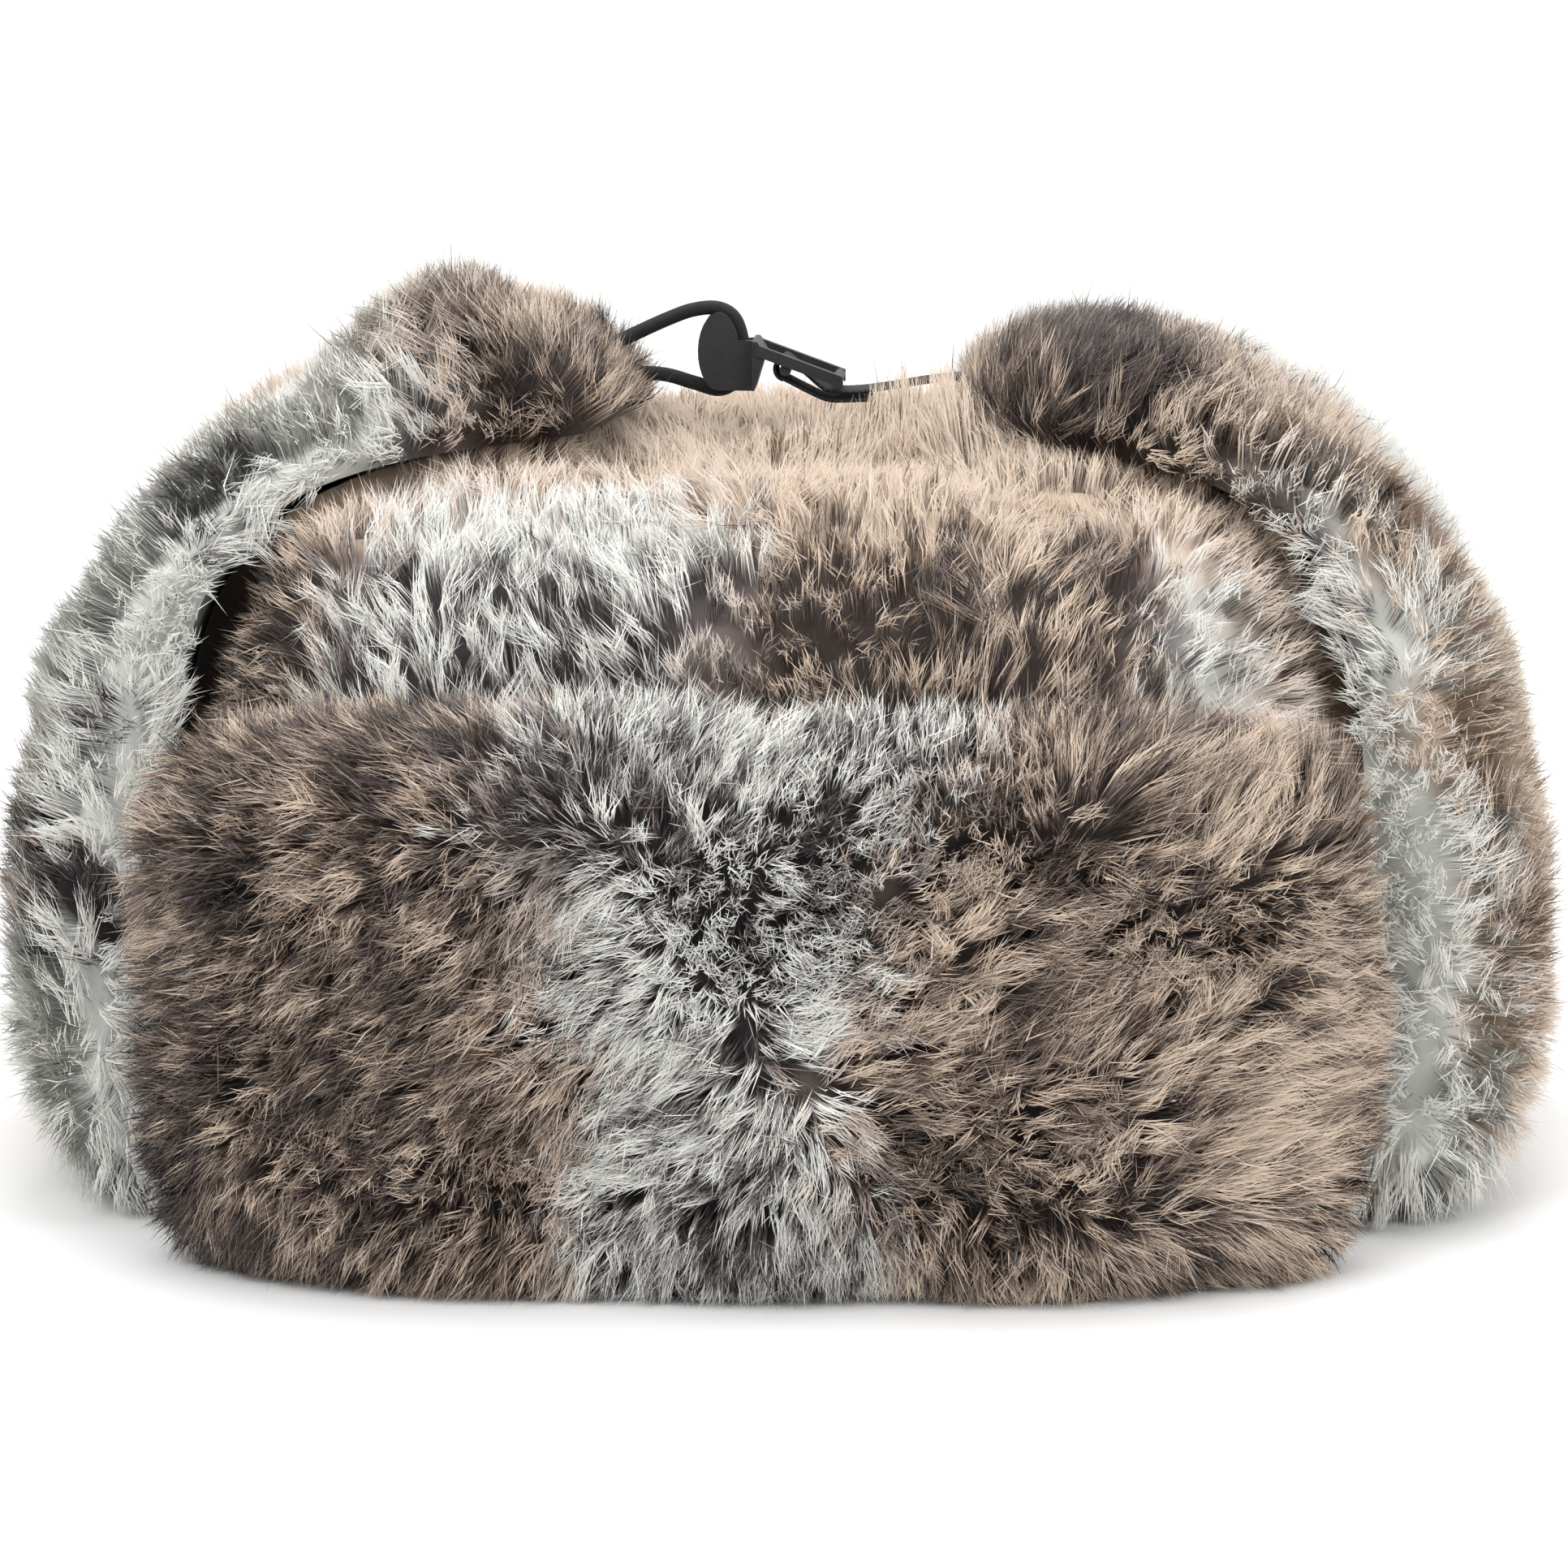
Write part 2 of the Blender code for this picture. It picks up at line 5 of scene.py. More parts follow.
import bpy
import numpy as np
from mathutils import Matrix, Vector


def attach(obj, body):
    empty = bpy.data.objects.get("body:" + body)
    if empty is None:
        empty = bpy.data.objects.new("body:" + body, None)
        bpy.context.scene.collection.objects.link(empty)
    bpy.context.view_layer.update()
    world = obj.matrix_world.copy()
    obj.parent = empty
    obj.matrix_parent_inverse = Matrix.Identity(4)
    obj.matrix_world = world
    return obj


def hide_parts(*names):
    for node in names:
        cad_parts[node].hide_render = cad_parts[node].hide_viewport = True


bl_info = {
    "name": "Ushanka",
    "version": (1, 0, 0),
    "blender": (4, 5, 0),
    "location": "3D View > Sidebar > Ushanka",
    "description": "Builds a faux fur ushanka: pelts, pile, lining, elastic, clip and strap",
    "category": "Add Mesh",
}

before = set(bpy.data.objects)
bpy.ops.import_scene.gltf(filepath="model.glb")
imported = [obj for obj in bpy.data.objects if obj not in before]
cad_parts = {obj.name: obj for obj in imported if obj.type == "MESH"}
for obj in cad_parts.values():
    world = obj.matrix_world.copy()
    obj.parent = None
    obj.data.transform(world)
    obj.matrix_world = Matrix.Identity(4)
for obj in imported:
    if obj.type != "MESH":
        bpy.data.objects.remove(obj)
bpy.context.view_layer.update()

# The frame's own sizes, in metres: the crown's skin and its hollow.
CROWN_HALF_WIDTH, CROWN_HALF_LENGTH, CROWN_HEIGHT = 0.101, 0.118, 0.124
HEAD_HALF_WIDTH, HEAD_HALF_LENGTH, HEAD_DEPTH = 0.081, 0.098, 0.104
PLAN_POWER, SIDE_POWER, BROW_POWER, BROW_SHARE = 3.8, 4.4, 6.2, 0.60
HOLLOW_PLAN_POWER, HOLLOW_PROFILE_POWER = 2.9, 3.2

# The flaps, as the frame folds them up against the crown.
SEAM_GAP, FOLD_LIFT = 0.0008, 0.0015
BROW_FLAP_HEIGHT, NECK_FLAP_HEIGHT, CORNER_DROP = 0.092, 0.086, 0.11
BAND_FLAP_THICKNESS, EAR_FLAP_THICKNESS = 0.0215, 0.0290
BROW_FLAP_SPREAD, NECK_FLAP_SPREAD = math.radians(46.0), math.radians(49.0)
EAR_AXIS_HEIGHT, LEFT_TIP_REACH, RIGHT_TIP_REACH, EAR_LEAN = 0.045, 0.0255, 0.0305, 0.011
BAND_SHARES, BAND_THICK = (0, 0.18, 0.50, 0.80, 1), (0.80, 0.95, 1, 1, 0.86)
EAR_SHARES = (0, 0.08, 0.20, 0.32, 0.48, 0.60, 0.74, 0.87, 0.94, 1)
EAR_FRONT = (-0.680, -0.680, -0.675, -0.665, -0.640, -0.600, -0.510, -0.380, -0.290, -0.130)
EAR_BACK = (0.600, 0.605, 0.610, 0.610, 0.600, 0.580, 0.540, 0.480, 0.420, 0.330)
LEFT_THICK = (0.78, 0.92, 0.99, 1.05, 0.88, 0.64, 0.55, 1.02, 0.79, 0.58)
RIGHT_THICK = (0.78, 0.95, 1.02, 1.05, 0.92, 0.65, 0.52, 0.75, 0.74, 0.58)

# The fastening over the crown, in the plane of the clip: (x, z).
CLIP_DEPTH_PLACE = 0.0120
LOOP_DIAMETER = 0.0025
LOOP_ROUTE = (
    (-0.0290, 0.1374), (-0.0212, 0.1410), (-0.0162, 0.1428), (-0.0118, 0.1430),
    (-0.0089, 0.1409), (-0.0077, 0.1358), (-0.0088, 0.1308), (-0.0118, 0.1289),
    (-0.0162, 0.1300), (-0.0212, 0.1314), (-0.0272, 0.1318),
)
STRAP_WIDTH, STRAP_THICKNESS = 0.0100, 0.0009
STRAP_TAIL = ((0.0150, 0.1276), (0.0098, 0.1274), (0.0070, 0.1276), (0.0036, 0.1291))
STRAP_BAR, STRAP_BEND = (-0.00003, 0.1328), 0.00185
STRAP_LEAD = (
    (0.0036, 0.1320), (0.0066, 0.1295), (0.0092, 0.1289), (0.0130, 0.1290),
    (0.0190, 0.1298), (0.0250, 0.1308), (0.0327, 0.1316), (0.0390, 0.1318),
)

# Where the hair parts and its dark shafts show, and where painted shade darkens it, as lines of (x,
# y, z) in millimetres.
BROW_PARTINGS = (
    ((-15, -139, 60), (-6, -139, 52), (2, -139, 46), (6, -139, 40), (12, -139, 33)),
    ((-25, -138, 84), (-25, -138, 71), (-20, -138, 65)),
    ((-11, -139, 71), (-4, -139, 68), (3, -139, 63), (6, -139, 61)),
    ((11, -139, 61), (18, -139, 54), (25, -138, 50)),
    ((-36, -138, 40), (-45, -137, 35)),
    ((36, -138, 56), (40, -137, 50)),
    ((20, -138, 20), (26, -138, 15)),
    ((-79, -127, 44), (-84, -124, 38), (-92, -118, 30)),
    ((-91, -119, 68), (-97, -112, 60)),
    ((-76, -128, 86), (-86, -122, 82)),
    ((52, -135, 40), (60, -134, 31)),
)
CROWN_PARTINGS = (
    ((-34, -117, 102), (-28, -117, 108), (-20, -115, 116)),
    ((-44, -116, 92), (-40, -117, 96)),
    ((42, -116, 99), (50, -115, 96)),
    ((18, -118, 104), (22, -116, 112)),
    ((70, -107, 102), (74, -105, 94)),
)
EAR_PARTINGS = (
    ((-124, -78, 52), (-116, -76, 66), (-106, -70, 84)),
    ((-96, -60, 108), (-84, -50, 124), (-70, -40, 138)),
    ((-50, -30, 148), (-44, -20, 146)),
    ((-124, -76, 26), (-120, -80, 34)),
    ((52, -40, 136), (62, -48, 130), (74, -55, 122)),
    ((88, -66, 108), (96, -72, 100)),
    ((112, -78, 76), (118, -80, 68)),
    ((120, -78, 34), (124, -74, 28)),
)
NECK_PARTINGS = (
    ((-70, 128, 66), (-58, 132, 54), (-50, 134, 40)),
    ((2, 139, 50), (14, 139, 40)),
    ((52, 134, 72), (60, 131, 60)),
    ((-20, 138, 22), (-8, 139, 16)),
)

# A hair's shade is its length share, its tone and a shift, read on a ramp with these stops.
HAIR_SHARE, TONE_SHARE, TONE_SHIFT, BLUSH_GAIN = 0.90, 0.38, -0.030, 1.8
BROWN_STOPS, SILVER_STOPS = (0.0, 0.53, 0.74, 0.96), (0.0, 0.46, 0.63, 0.82)
# The pelt takes the shade of hair at this share of its length, and is a little darker.
PELT_SHARE, PELT_SHADE = 0.38, -0.2
# How tone wanders from clump to clump: (cell in metres, seed step, amount).
TONE_WAVES = ((0.0042, 3, 1.8), (0.0110, 4, 1.2), (0.0260, 2, 0.7))
CLUMP_TONE, HAIR_TONE, HAIR_SILVER = 0.50, 0.35, 0.12
# Along the partings: how much painted shade darkens the hair (the crease's shade, with the dark
# shafts that show there), how far it reaches, and how hard and how far the hair is pushed aside.
PARTING_PAINTED_SHADE, PARTING_REACH, PARTING_PUSH, PARTING_SPAN = 3.2, 0.0034, 1.8, 0.007
# A hair's bend: how high and how far out it lies as shares of its tip's.
BEND_HEIGHT, BEND_REACH, ROOT_DEPTH = 0.70, 0.34, 0.0012
STRAY_SHARE, FLOOR_CLEARANCE = 0.05, 0.0003
TUFT_SWELL, TUFT_GROWTH = 0.006, 1.5


def linear(hex_colour):
    """An sRGB hex colour as linear RGBA."""
    channels = [int(hex_colour[i : i + 2], 16) / 255 for i in (1, 3, 5)]
    return tuple(
        c / 12.92 if c <= 0.04045 else ((c + 0.055) / 1.055) ** 2.4 for c in channels
    ) + (1.0,)


# ---------------------------------------------------------------- shapes


def fullness(points, grown):
    """Superellipse plan to a superellipse profile: (|x/w|^P + |y/l|^P)^(p/P) + (z/h)^p, which is
    1 on the crown's skin grown by that much. p grows towards the brow and the nape."""
    across = np.abs(points[..., 0]) / (CROWN_HALF_WIDTH + grown)
    along = np.abs(points[..., 1]) / (CROWN_HALF_LENGTH + grown)
    plan = (across**PLAN_POWER + along**PLAN_POWER) ** (1 / PLAN_POWER)
    rise = np.maximum(points[..., 2], 0.0) / (CROWN_HEIGHT + grown)
    power = SIDE_POWER + (BROW_POWER - SIDE_POWER) * np.minimum(1.0, along / BROW_SHARE) ** 2
    return plan**power + rise**power


def skin_rise(points):
    """Unit directions straight off the crown's skin: the slope of its fullness."""
    step = 0.0005
    return unit(np.stack(
        [fullness(points + step * axis, 0) - fullness(points - step * axis, 0)
         for axis in np.eye(3)],
        axis=-1,
    ))


def on_skin(start, heading, grown):
    """Where lines from inside the crown leave its grown skin, by halving the span 26 times."""
    near = np.zeros(heading.shape[:-1])
    far = near + CROWN_HALF_LENGTH + CROWN_HEIGHT + np.max(grown)
    for _ in range(26):
        middle = (near + far) / 2
        inside = fullness(start + heading * middle[..., None], grown) < 1
        near, far = np.where(inside, middle, near), np.where(inside, far, middle)
    return start + heading * near[..., None]


def band_place(across, up, growth, height, spread, facing):
    """A flap turned up at the brow or the nape: level lines turned by the share across, at a
    height that drops by the fourth power towards the corners, out to the grown skin."""
    side = 2 * across - 1
    turn = spread * side
    lift = FOLD_LIFT + (height * (1 - CORNER_DROP * side**4) - FOLD_LIFT) * up
    heading = np.stack([np.sin(turn), facing * np.cos(turn), 0 * turn], axis=-1)
    start = np.stack([0 * turn, 0 * turn, lift], axis=-1)
    return on_skin(start, heading, growth)


def ear_angles(tip_reach):
    """The angle at the flap's tip, and the lengths of its upright and its curved part."""
    tip_angle = math.atan2(CROWN_HEIGHT - EAR_AXIS_HEIGHT, tip_reach)
    wall = EAR_AXIS_HEIGHT - FOLD_LIFT
    return tip_angle, wall, tip_angle * (CROWN_HALF_WIDTH + CROWN_HEIGHT - EAR_AXIS_HEIGHT) / 2


def ear_place(run, across, growth, layer, outward, tip_reach):
    """A flap up the crown's side and over it: lines level up to the axis height, then turned
    about that axis up to the tip, each at its own place along Y, out to the grown skin."""
    tip_angle, wall, arc = ear_angles(tip_reach)
    front = np.interp(run, EAR_SHARES, EAR_FRONT) * CROWN_HALF_LENGTH
    back = np.interp(run, EAR_SHARES, EAR_BACK) * CROWN_HALF_LENGTH
    lean = EAR_LEAN * layer**2 * (1 - run) * (2 * across - 1)
    depth = front + (back - front) * across + lean
    done = run * (wall + arc)
    start_height = np.minimum(FOLD_LIFT + done, EAR_AXIS_HEIGHT)
    angle = tip_angle * np.maximum(0.0, done - wall) / arc
    heading = np.stack([outward * np.cos(angle), 0 * angle, np.sin(angle)], axis=-1)
    start = np.stack([0 * depth, depth, start_height], axis=-1)
    return on_skin(start, heading, growth)


def pad_shares(rows, columns, power=4.5, corner=0.12):
    """(X, Y, H) over a grid: X = sin(a), Y = sin(b), each drawn in by the root of
    1 - corner * other^2 / 2 so the corners round off, and H = ((1 - |X|^p)(1 - |Y|^p))^(1/p), a
    pad's domed height."""
    a, b = np.meshgrid(
        np.linspace(-math.pi / 2, math.pi / 2, rows),
        np.linspace(-math.pi / 2, math.pi / 2, columns),
        indexing="ij",
    )
    x, y = np.sin(a), np.sin(b)
    height = np.maximum(0.0, (1 - np.abs(x) ** power) * (1 - np.abs(y) ** power)) ** (1 / power)
    height[0], height[-1], height[:, 0], height[:, -1] = 0, 0, 0, 0
    drawn_x = x * np.sqrt(1 - corner * y**2 / 2)
    drawn_y = y * np.sqrt(1 - corner * x**2 / 2)
    return drawn_x, drawn_y, height


def band_pelt(rows, columns, height, spread, facing):
    """The outside and the inside of a turned-up flap's pelt, two grids with one border."""
    pile = bpy.context.scene.ushanka_pile
    x, y, full = pad_shares(rows, columns)
    half_arc = spread * CROWN_HALF_LENGTH
    across = 0.5 + 0.5 * x * (1 - pile.edge_inset / half_arc)
    low, high = pile.hem_inset / height, 1 - pile.edge_inset / height
    up = low + (high - low) * (0.5 + 0.5 * y)
    thickness = BAND_FLAP_THICKNESS * np.interp(up, BAND_SHARES, BAND_THICK) - pile.height
    smooth = band_place(across, up, SEAM_GAP + full * thickness, height, spread, facing)
    thickness = thickness + lumps(smooth, 61)
    outside = band_place(across, up, SEAM_GAP + full * thickness, height, spread, facing)
    inside = band_place(across, up, SEAM_GAP + 0 * full, height, spread, facing)
    return outside, inside


def ear_pelt(rows, columns, outward, tip_reach, thick):
    """The outside and the inside of an ear flap's pelt, two grids with one border."""
    pile = bpy.context.scene.ushanka_pile
    x, y, full = pad_shares(rows, columns)
    _, wall, arc = ear_angles(tip_reach)
    low, high = pile.hem_inset / (wall + arc), 1 - pile.tip_inset / (wall + arc)
    run = low + (high - low) * (0.5 + 0.5 * x)
    width = np.interp(run, EAR_SHARES, EAR_BACK) - np.interp(run, EAR_SHARES, EAR_FRONT)
    across = 0.5 + y * (0.5 - pile.edge_inset / (width * CROWN_HALF_LENGTH))
    thickness = EAR_FLAP_THICKNESS * np.interp(run, EAR_SHARES, thick) - pile.height
    smooth = ear_place(run, across, SEAM_GAP + full * thickness, full, outward, tip_reach)
    thickness = np.maximum(thickness + lumps(smooth, 63), 0.0065)
    outside = ear_place(run, across, SEAM_GAP + full * thickness, full, outward, tip_reach)
    inside = ear_place(run, across, SEAM_GAP + 0 * full, 0 * full, outward, tip_reach)
    return outside, inside


def lumps(points, seed):
    """How the padding swells and sinks under the pile, from 6 mm in to 4 mm out."""
    swell = value_noise(points, 0.025, seed) + 0.35 * value_noise(points, 0.011, seed + 1)
    return 0.0075 * (swell - 0.80)


def plan_reach(turn, half_width, half_length, power):
    """A superellipse's radius at an angle: (|cos/w|^P + |sin/l|^P)^(-1/P)."""
    across, along = np.abs(np.cos(turn)) / half_width, np.abs(np.sin(turn)) / half_length
    return (across**power + along**power) ** (-1 / power)


def crown_skin(turns, elevations):
    """The crown's pelt: lines from the middle of the rim out to its skin, drawn in by the pile's
    height where no flap lies on it, less under the strap's tuft, and hardly at all where a flap
    lies on it."""
    turn, rise = np.meshgrid(turns, elevations, indexing="ij")
    heading = np.stack(
        [np.cos(rise) * np.cos(turn), np.cos(rise) * np.sin(turn), np.sin(rise)], axis=-1
    )
    skin = on_skin(np.zeros_like(heading), heading, 0 * turn)
    depth = bpy.context.scene.ushanka_pile.crown_height - lumps(skin, 65)
    depth = depth - TUFT_SWELL * strap_tuft(skin)
    depth = 0.0004 + np.maximum(0.003, depth) * (1 - covered(skin))
    return on_skin(np.zeros_like(heading), heading, -depth)


def strap_tuft(points):
    """1 in the middle of the thick tuft in front of the strap, falling off as a bell."""
    across, along = (points[..., 0] - 0.027) / 0.015, (points[..., 1] + 0.014) / 0.020
    return np.exp(-(across**2) - along**2) * (points[..., 2] > 0.09)


def smooth_step(value, first, last):
    """0 before first, 1 after last, and 3t^2 - 2t^3 between."""
    t = np.clip((value - first) / (last - first), 0.0, 1.0)
    return t * t * (3 - 2 * t)


def covered(points):
    """How far under the flaps points of the crown lie, as a share: 0 bare, 1 well under."""
    x, y, z = points[..., 0], points[..., 1], points[..., 2]
    depth = np.full(x.shape, -1.0)
    for height, spread, facing in (
        (BROW_FLAP_HEIGHT, BROW_FLAP_SPREAD, -1),
        (NECK_FLAP_HEIGHT, NECK_FLAP_SPREAD, 1),
    ):
        turn = np.arctan2(x, facing * y)
        top = height * (1 - CORNER_DROP * np.minimum(1.0, np.abs(turn) / spread) ** 4)
        inner = np.minimum((spread - np.abs(turn)) * CROWN_HALF_LENGTH, top - z)
        depth = np.maximum(depth, inner)
    for outward, tip_reach in ((-1, LEFT_TIP_REACH), (1, RIGHT_TIP_REACH)):
        tip_angle, wall, arc = ear_angles(tip_reach)
        angle = np.arctan2(np.maximum(0.0, z - EAR_AXIS_HEIGHT), np.maximum(1e-6, outward * x))
        done = np.where(z <= EAR_AXIS_HEIGHT, z - FOLD_LIFT, wall + arc * angle / tip_angle)
        share = np.clip(done / (wall + arc), 0.0, 1.0)
        front = np.interp(share, EAR_SHARES, EAR_FRONT) * CROWN_HALF_LENGTH
        back = np.interp(share, EAR_SHARES, EAR_BACK) * CROWN_HALF_LENGTH
        inner = np.minimum(np.minimum(y - front, back - y), (tip_angle - angle) * 0.09)
        depth = np.maximum(depth, np.where(outward * x > 0, inner, -1.0))
    return smooth_step(depth, 0.011, 0.020)


def smooth_line(points, steps):
    """Catmull-Rom through the given points: each span a cubic that leaves and arrives along the
    line between its neighbours."""
    p = np.vstack([2 * points[0] - points[1], points, 2 * points[-1] - points[-2]])
    t = (np.arange(steps) / steps)[None, :, None]
    p0, p1, p2, p3 = (p[i : len(p) - 3 + i][:, None, :] for i in range(4))
    spans = 0.5 * (
        2 * p1
        + (p2 - p0) * t
        + (2 * p0 - 5 * p1 + 4 * p2 - p3) * t**2
        + (3 * p1 - p0 - 3 * p2 + p3) * t**3
    )
    return np.vstack([spans.reshape(-1, points.shape[1]), points[-1:]])


def frames_along(path):
    """Unit tangents, in-plane normals and Y binormals of a path that lies in a plane of X and Z."""
    tangents = np.gradient(path, axis=0)
    tangents /= np.linalg.norm(tangents, axis=1, keepdims=True)
    across = np.tile([0.0, 1.0, 0.0], (len(path), 1))
    return tangents, np.cross(across, tangents), across


# ---------------------------------------------------------------- noise and meshes


def value_noise(points, cell, seed):
    """Smooth noise from 0 to 1: hashed values at the corners of a lattice of that cell size,
    blended by 3t^2 - 2t^3 along each axis."""
    scaled = points / cell + 1000.0
    base = np.floor(scaled).astype(np.int64)
    t = scaled - base
    t = t * t * (3 - 2 * t)
    total = np.zeros(points.shape[:-1])
    for corner in np.ndindex(2, 2, 2):
        at = base + np.array(corner)
        mixed = at[..., 0] * 73856093 ^ at[..., 1] * 19349663 ^ at[..., 2] * 83492791
        mixed = (mixed ^ (seed * 2654435761)) & 0xFFFFFFFF
        mixed = ((mixed ^ (mixed >> 15)) * 2246822519) & 0xFFFFFFFF
        mixed = ((mixed ^ (mixed >> 13)) * 3266489917) & 0xFFFFFFFF
        mixed = mixed ^ (mixed >> 16)
        weight = np.prod(np.where(np.array(corner) == 1, t, 1 - t), axis=-1)
        total += weight * (mixed / 0xFFFFFFFF)
    return total


def noise_slope(points, cell, seed):
    """The noise's steepest rise, by differences a tenth of a cell apart, in units of a cell."""
    step = cell / 10
    here = value_noise(points, cell, seed)
    return np.stack(
        [(value_noise(points + step * axis, cell, seed) - here) * 10 for axis in np.eye(3)],
        axis=-1,
    )


def unit(vectors):
    return vectors / np.maximum(1e-9, np.linalg.norm(vectors, axis=-1, keepdims=True))


def mesh_object(name, points, quads=None, triangles=None, attributes=None, uv=None):
    """A mesh of whole arrays as an object at the origin, smooth, with its float attributes."""
    mesh = bpy.data.meshes.new(name)
    quads = np.zeros((0, 4), int) if quads is None else quads
    triangles = np.zeros((0, 3), int) if triangles is None else triangles
    corners = np.concatenate([quads.ravel(), triangles.ravel()]).astype(np.int32)
    sizes = np.concatenate([np.full(len(quads), 4), np.full(len(triangles), 3)])
    starts = np.concatenate([[0], np.cumsum(sizes)[:-1]]).astype(np.int32)
    mesh.vertices.add(len(points))
    mesh.vertices.foreach_set("co", points.astype(np.float32).ravel())
    mesh.loops.add(len(corners))
    mesh.loops.foreach_set("vertex_index", corners)
    mesh.polygons.add(len(sizes))
    mesh.polygons.foreach_set("loop_start", starts)
    mesh.update(calc_edges=True)
    mesh.validate()
    mesh.shade_smooth()
    for attribute, values in (attributes or {}).items():
        layer = mesh.attributes.new(attribute, "FLOAT", "POINT")
        layer.data.foreach_set("value", np.asarray(values, np.float32))
    if uv is not None:
        layer = mesh.uv_layers.new(name="UVMap")
        layer.data.foreach_set("uv", uv[corners].astype(np.float32).ravel())
    obj = bpy.data.objects.new(name, mesh)
    bpy.context.scene.collection.objects.link(obj)
    return obj


def grid_quads(index):
    """The quads of a grid of vertex numbers."""
    return np.stack(
        [index[:-1, :-1], index[1:, :-1], index[1:, 1:], index[:-1, 1:]], axis=-1
    ).reshape(-1, 4)


def capped_tube(rings, path, turned):
    """The points, quads and fans of a tube of rings closed at both ends of its path. Turned says
    that the rings run the other way round."""
    count, sides = rings.shape[:2]
    index = np.arange(count * sides).reshape(count, sides)
    after = np.roll(index, -1, axis=1)
    quads = grid_quads(np.hstack([index, index[:, :1]]))
    fans = np.vstack([
        np.stack([np.full(sides, index.size), index[0], after[0]], axis=1),
        np.stack([np.full(sides, index.size + 1), after[-1], index[-1]], axis=1),
    ])
    if turned:
        quads, fans = quads[:, ::-1], fans[:, ::-1]
    return np.vstack([rings.reshape(-1, 3), path[:1], path[-1:]]), quads, fans


def grid_normals(grid, middle):
    """Unit normals of a grid from the cross product of its slopes, turned away from middle."""
    normals = np.cross(np.gradient(grid, axis=0), np.gradient(grid, axis=1))
    normals = unit(normals)
    if np.sum(normals * (grid - middle)) < 0:
        normals = -normals
    return normals


# ---------------------------------------------------------------- colour and flow of the pile


def brow_silver(points):
    """The pale band down the brow: between a left and a right edge that wander with height."""
    x = points[:, 0] + 0.016 * (value_noise(points, 0.013, 11) - 0.5)
    z = points[:, 2]
    left = np.interp(z, (0.015, 0.037, 0.060, 0.083), (-0.0275, -0.0225, -0.030, -0.035))
    right = np.interp(z, (0.015, 0.037, 0.056, 0.083), (0.0225, 0.015, 0.017, 0.035))
    return smooth_step(x, left - 0.005, left + 0.005) * (
        1 - smooth_step(x, right - 0.005, right + 0.005)
    )


def brow_tone(points):
    """Dark patches low on the wearer's right of the brow, paler in its silver and beyond."""
    x, z = points[:, 0], points[:, 2]
    dark = np.exp(-(((x + 0.090) / 0.016) ** 2) - ((z - 0.022) / 0.020) ** 2)
    dark += 0.8 * np.exp(-(((x + 0.104) / 0.012) ** 2) - ((z - 0.050) / 0.018) ** 2)
    left = smooth_step(-x, 0.026, 0.036)
    middle = 1 - smooth_step(np.abs(x), 0.025, 0.040)
    pale = 0.46 * smooth_step(x, 0.030, 0.070) + 0.22 * middle
    return 0.06 + pale - 0.22 * left - 0.85 * dark


def bands(points, seed):
    """Mottled stripes a hand wide, where the photograph doesn't show the pile."""
    noise = value_noise(points * (1.0, 1.0, 0.6), 0.052, seed)
    return smooth_step(noise + 0.12 * (value_noise(points, 0.012, seed + 1) - 0.5), 0.46, 0.56)


def crown_silver(points):
    """Brown, silver, brown, silver across the front, and a silver tongue back over the top."""
    x = points[:, 0] + 0.014 * (value_noise(points, 0.012, 21) - 0.5)
    y, z = points[:, 1], points[:, 2]
    front = smooth_step(x, -0.073, -0.063) * (1 - smooth_step(x, -0.009, 0.001))
    front += smooth_step(x, 0.060, 0.067)
    tongue = smooth_step(x, -0.066, -0.054) * (1 - smooth_step(x, -0.018, -0.006))
    tongue *= 1 - smooth_step(y, -0.070, -0.050)
    back = bands(points, 23)
    front_share = 1 - smooth_step(y, -0.088, -0.066)
    seen = front_share * front + (1 - front_share) * tongue
    rear = smooth_step(y, 0.060, 0.090) * (1 - smooth_step(z, 0.105, 0.118))
    return np.clip(seen * (1 - rear) + back * rear, 0, 1)


def crown_tone(points):
    """Paler on top, where the pile is short and brushed flat, and in the silver at the side."""
    top = smooth_step(points[:, 2], 0.104, 0.116) * smooth_step(points[:, 1], -0.100, -0.070)
    side = smooth_step(points[:, 0], 0.060, 0.070)
    return 0.26 + 2.15 * top + 1.10 * side


def left_ear_silver(points):
    """Silver but for its tip over the crown and slivers at the far outer edge."""
    x = points[:, 0] + 0.018 * (value_noise(points, 0.016, 31) - 0.5)
    y = points[:, 1] + 0.016 * (value_noise(points, 0.018, 32) - 0.5)
    tip = smooth_step(x, -0.066, -0.052)
    outer = smooth_step(-x, 0.119, 0.124) * smooth_step(points[:, 2], 0.040, 0.050)
    outer = np.maximum(outer, smooth_step(y, -0.046, -0.034))
    outer *= (1 - smooth_step(points[:, 2], 0.100, 0.112)) * (1 - smooth_step(y, 0.010, 0.030))
    rear = smooth_step(y, 0.010, 0.030) * (1 - bands(points, 33))
    return np.clip(1 - tip - outer - rear, 0, 1)


def left_ear_tone(points):
    """A dark slanting band across the silver, darker hair at the tip's end."""
    x, z = points[:, 0], points[:, 2]
    slant = (z - 0.060) + 0.9 * (x + 0.118)
    dark = np.exp(-((slant / 0.007) ** 2)) * smooth_step(z, 0.020, 0.045)
    tip = np.exp(-(((x + 0.036) / 0.016) ** 2)) * smooth_step(z, 0.120, 0.135)
    pale = 1 - smooth_step(x, -0.072, -0.056)
    return 0.55 + 1.25 * pale - 2.40 * dark - 0.60 * tip


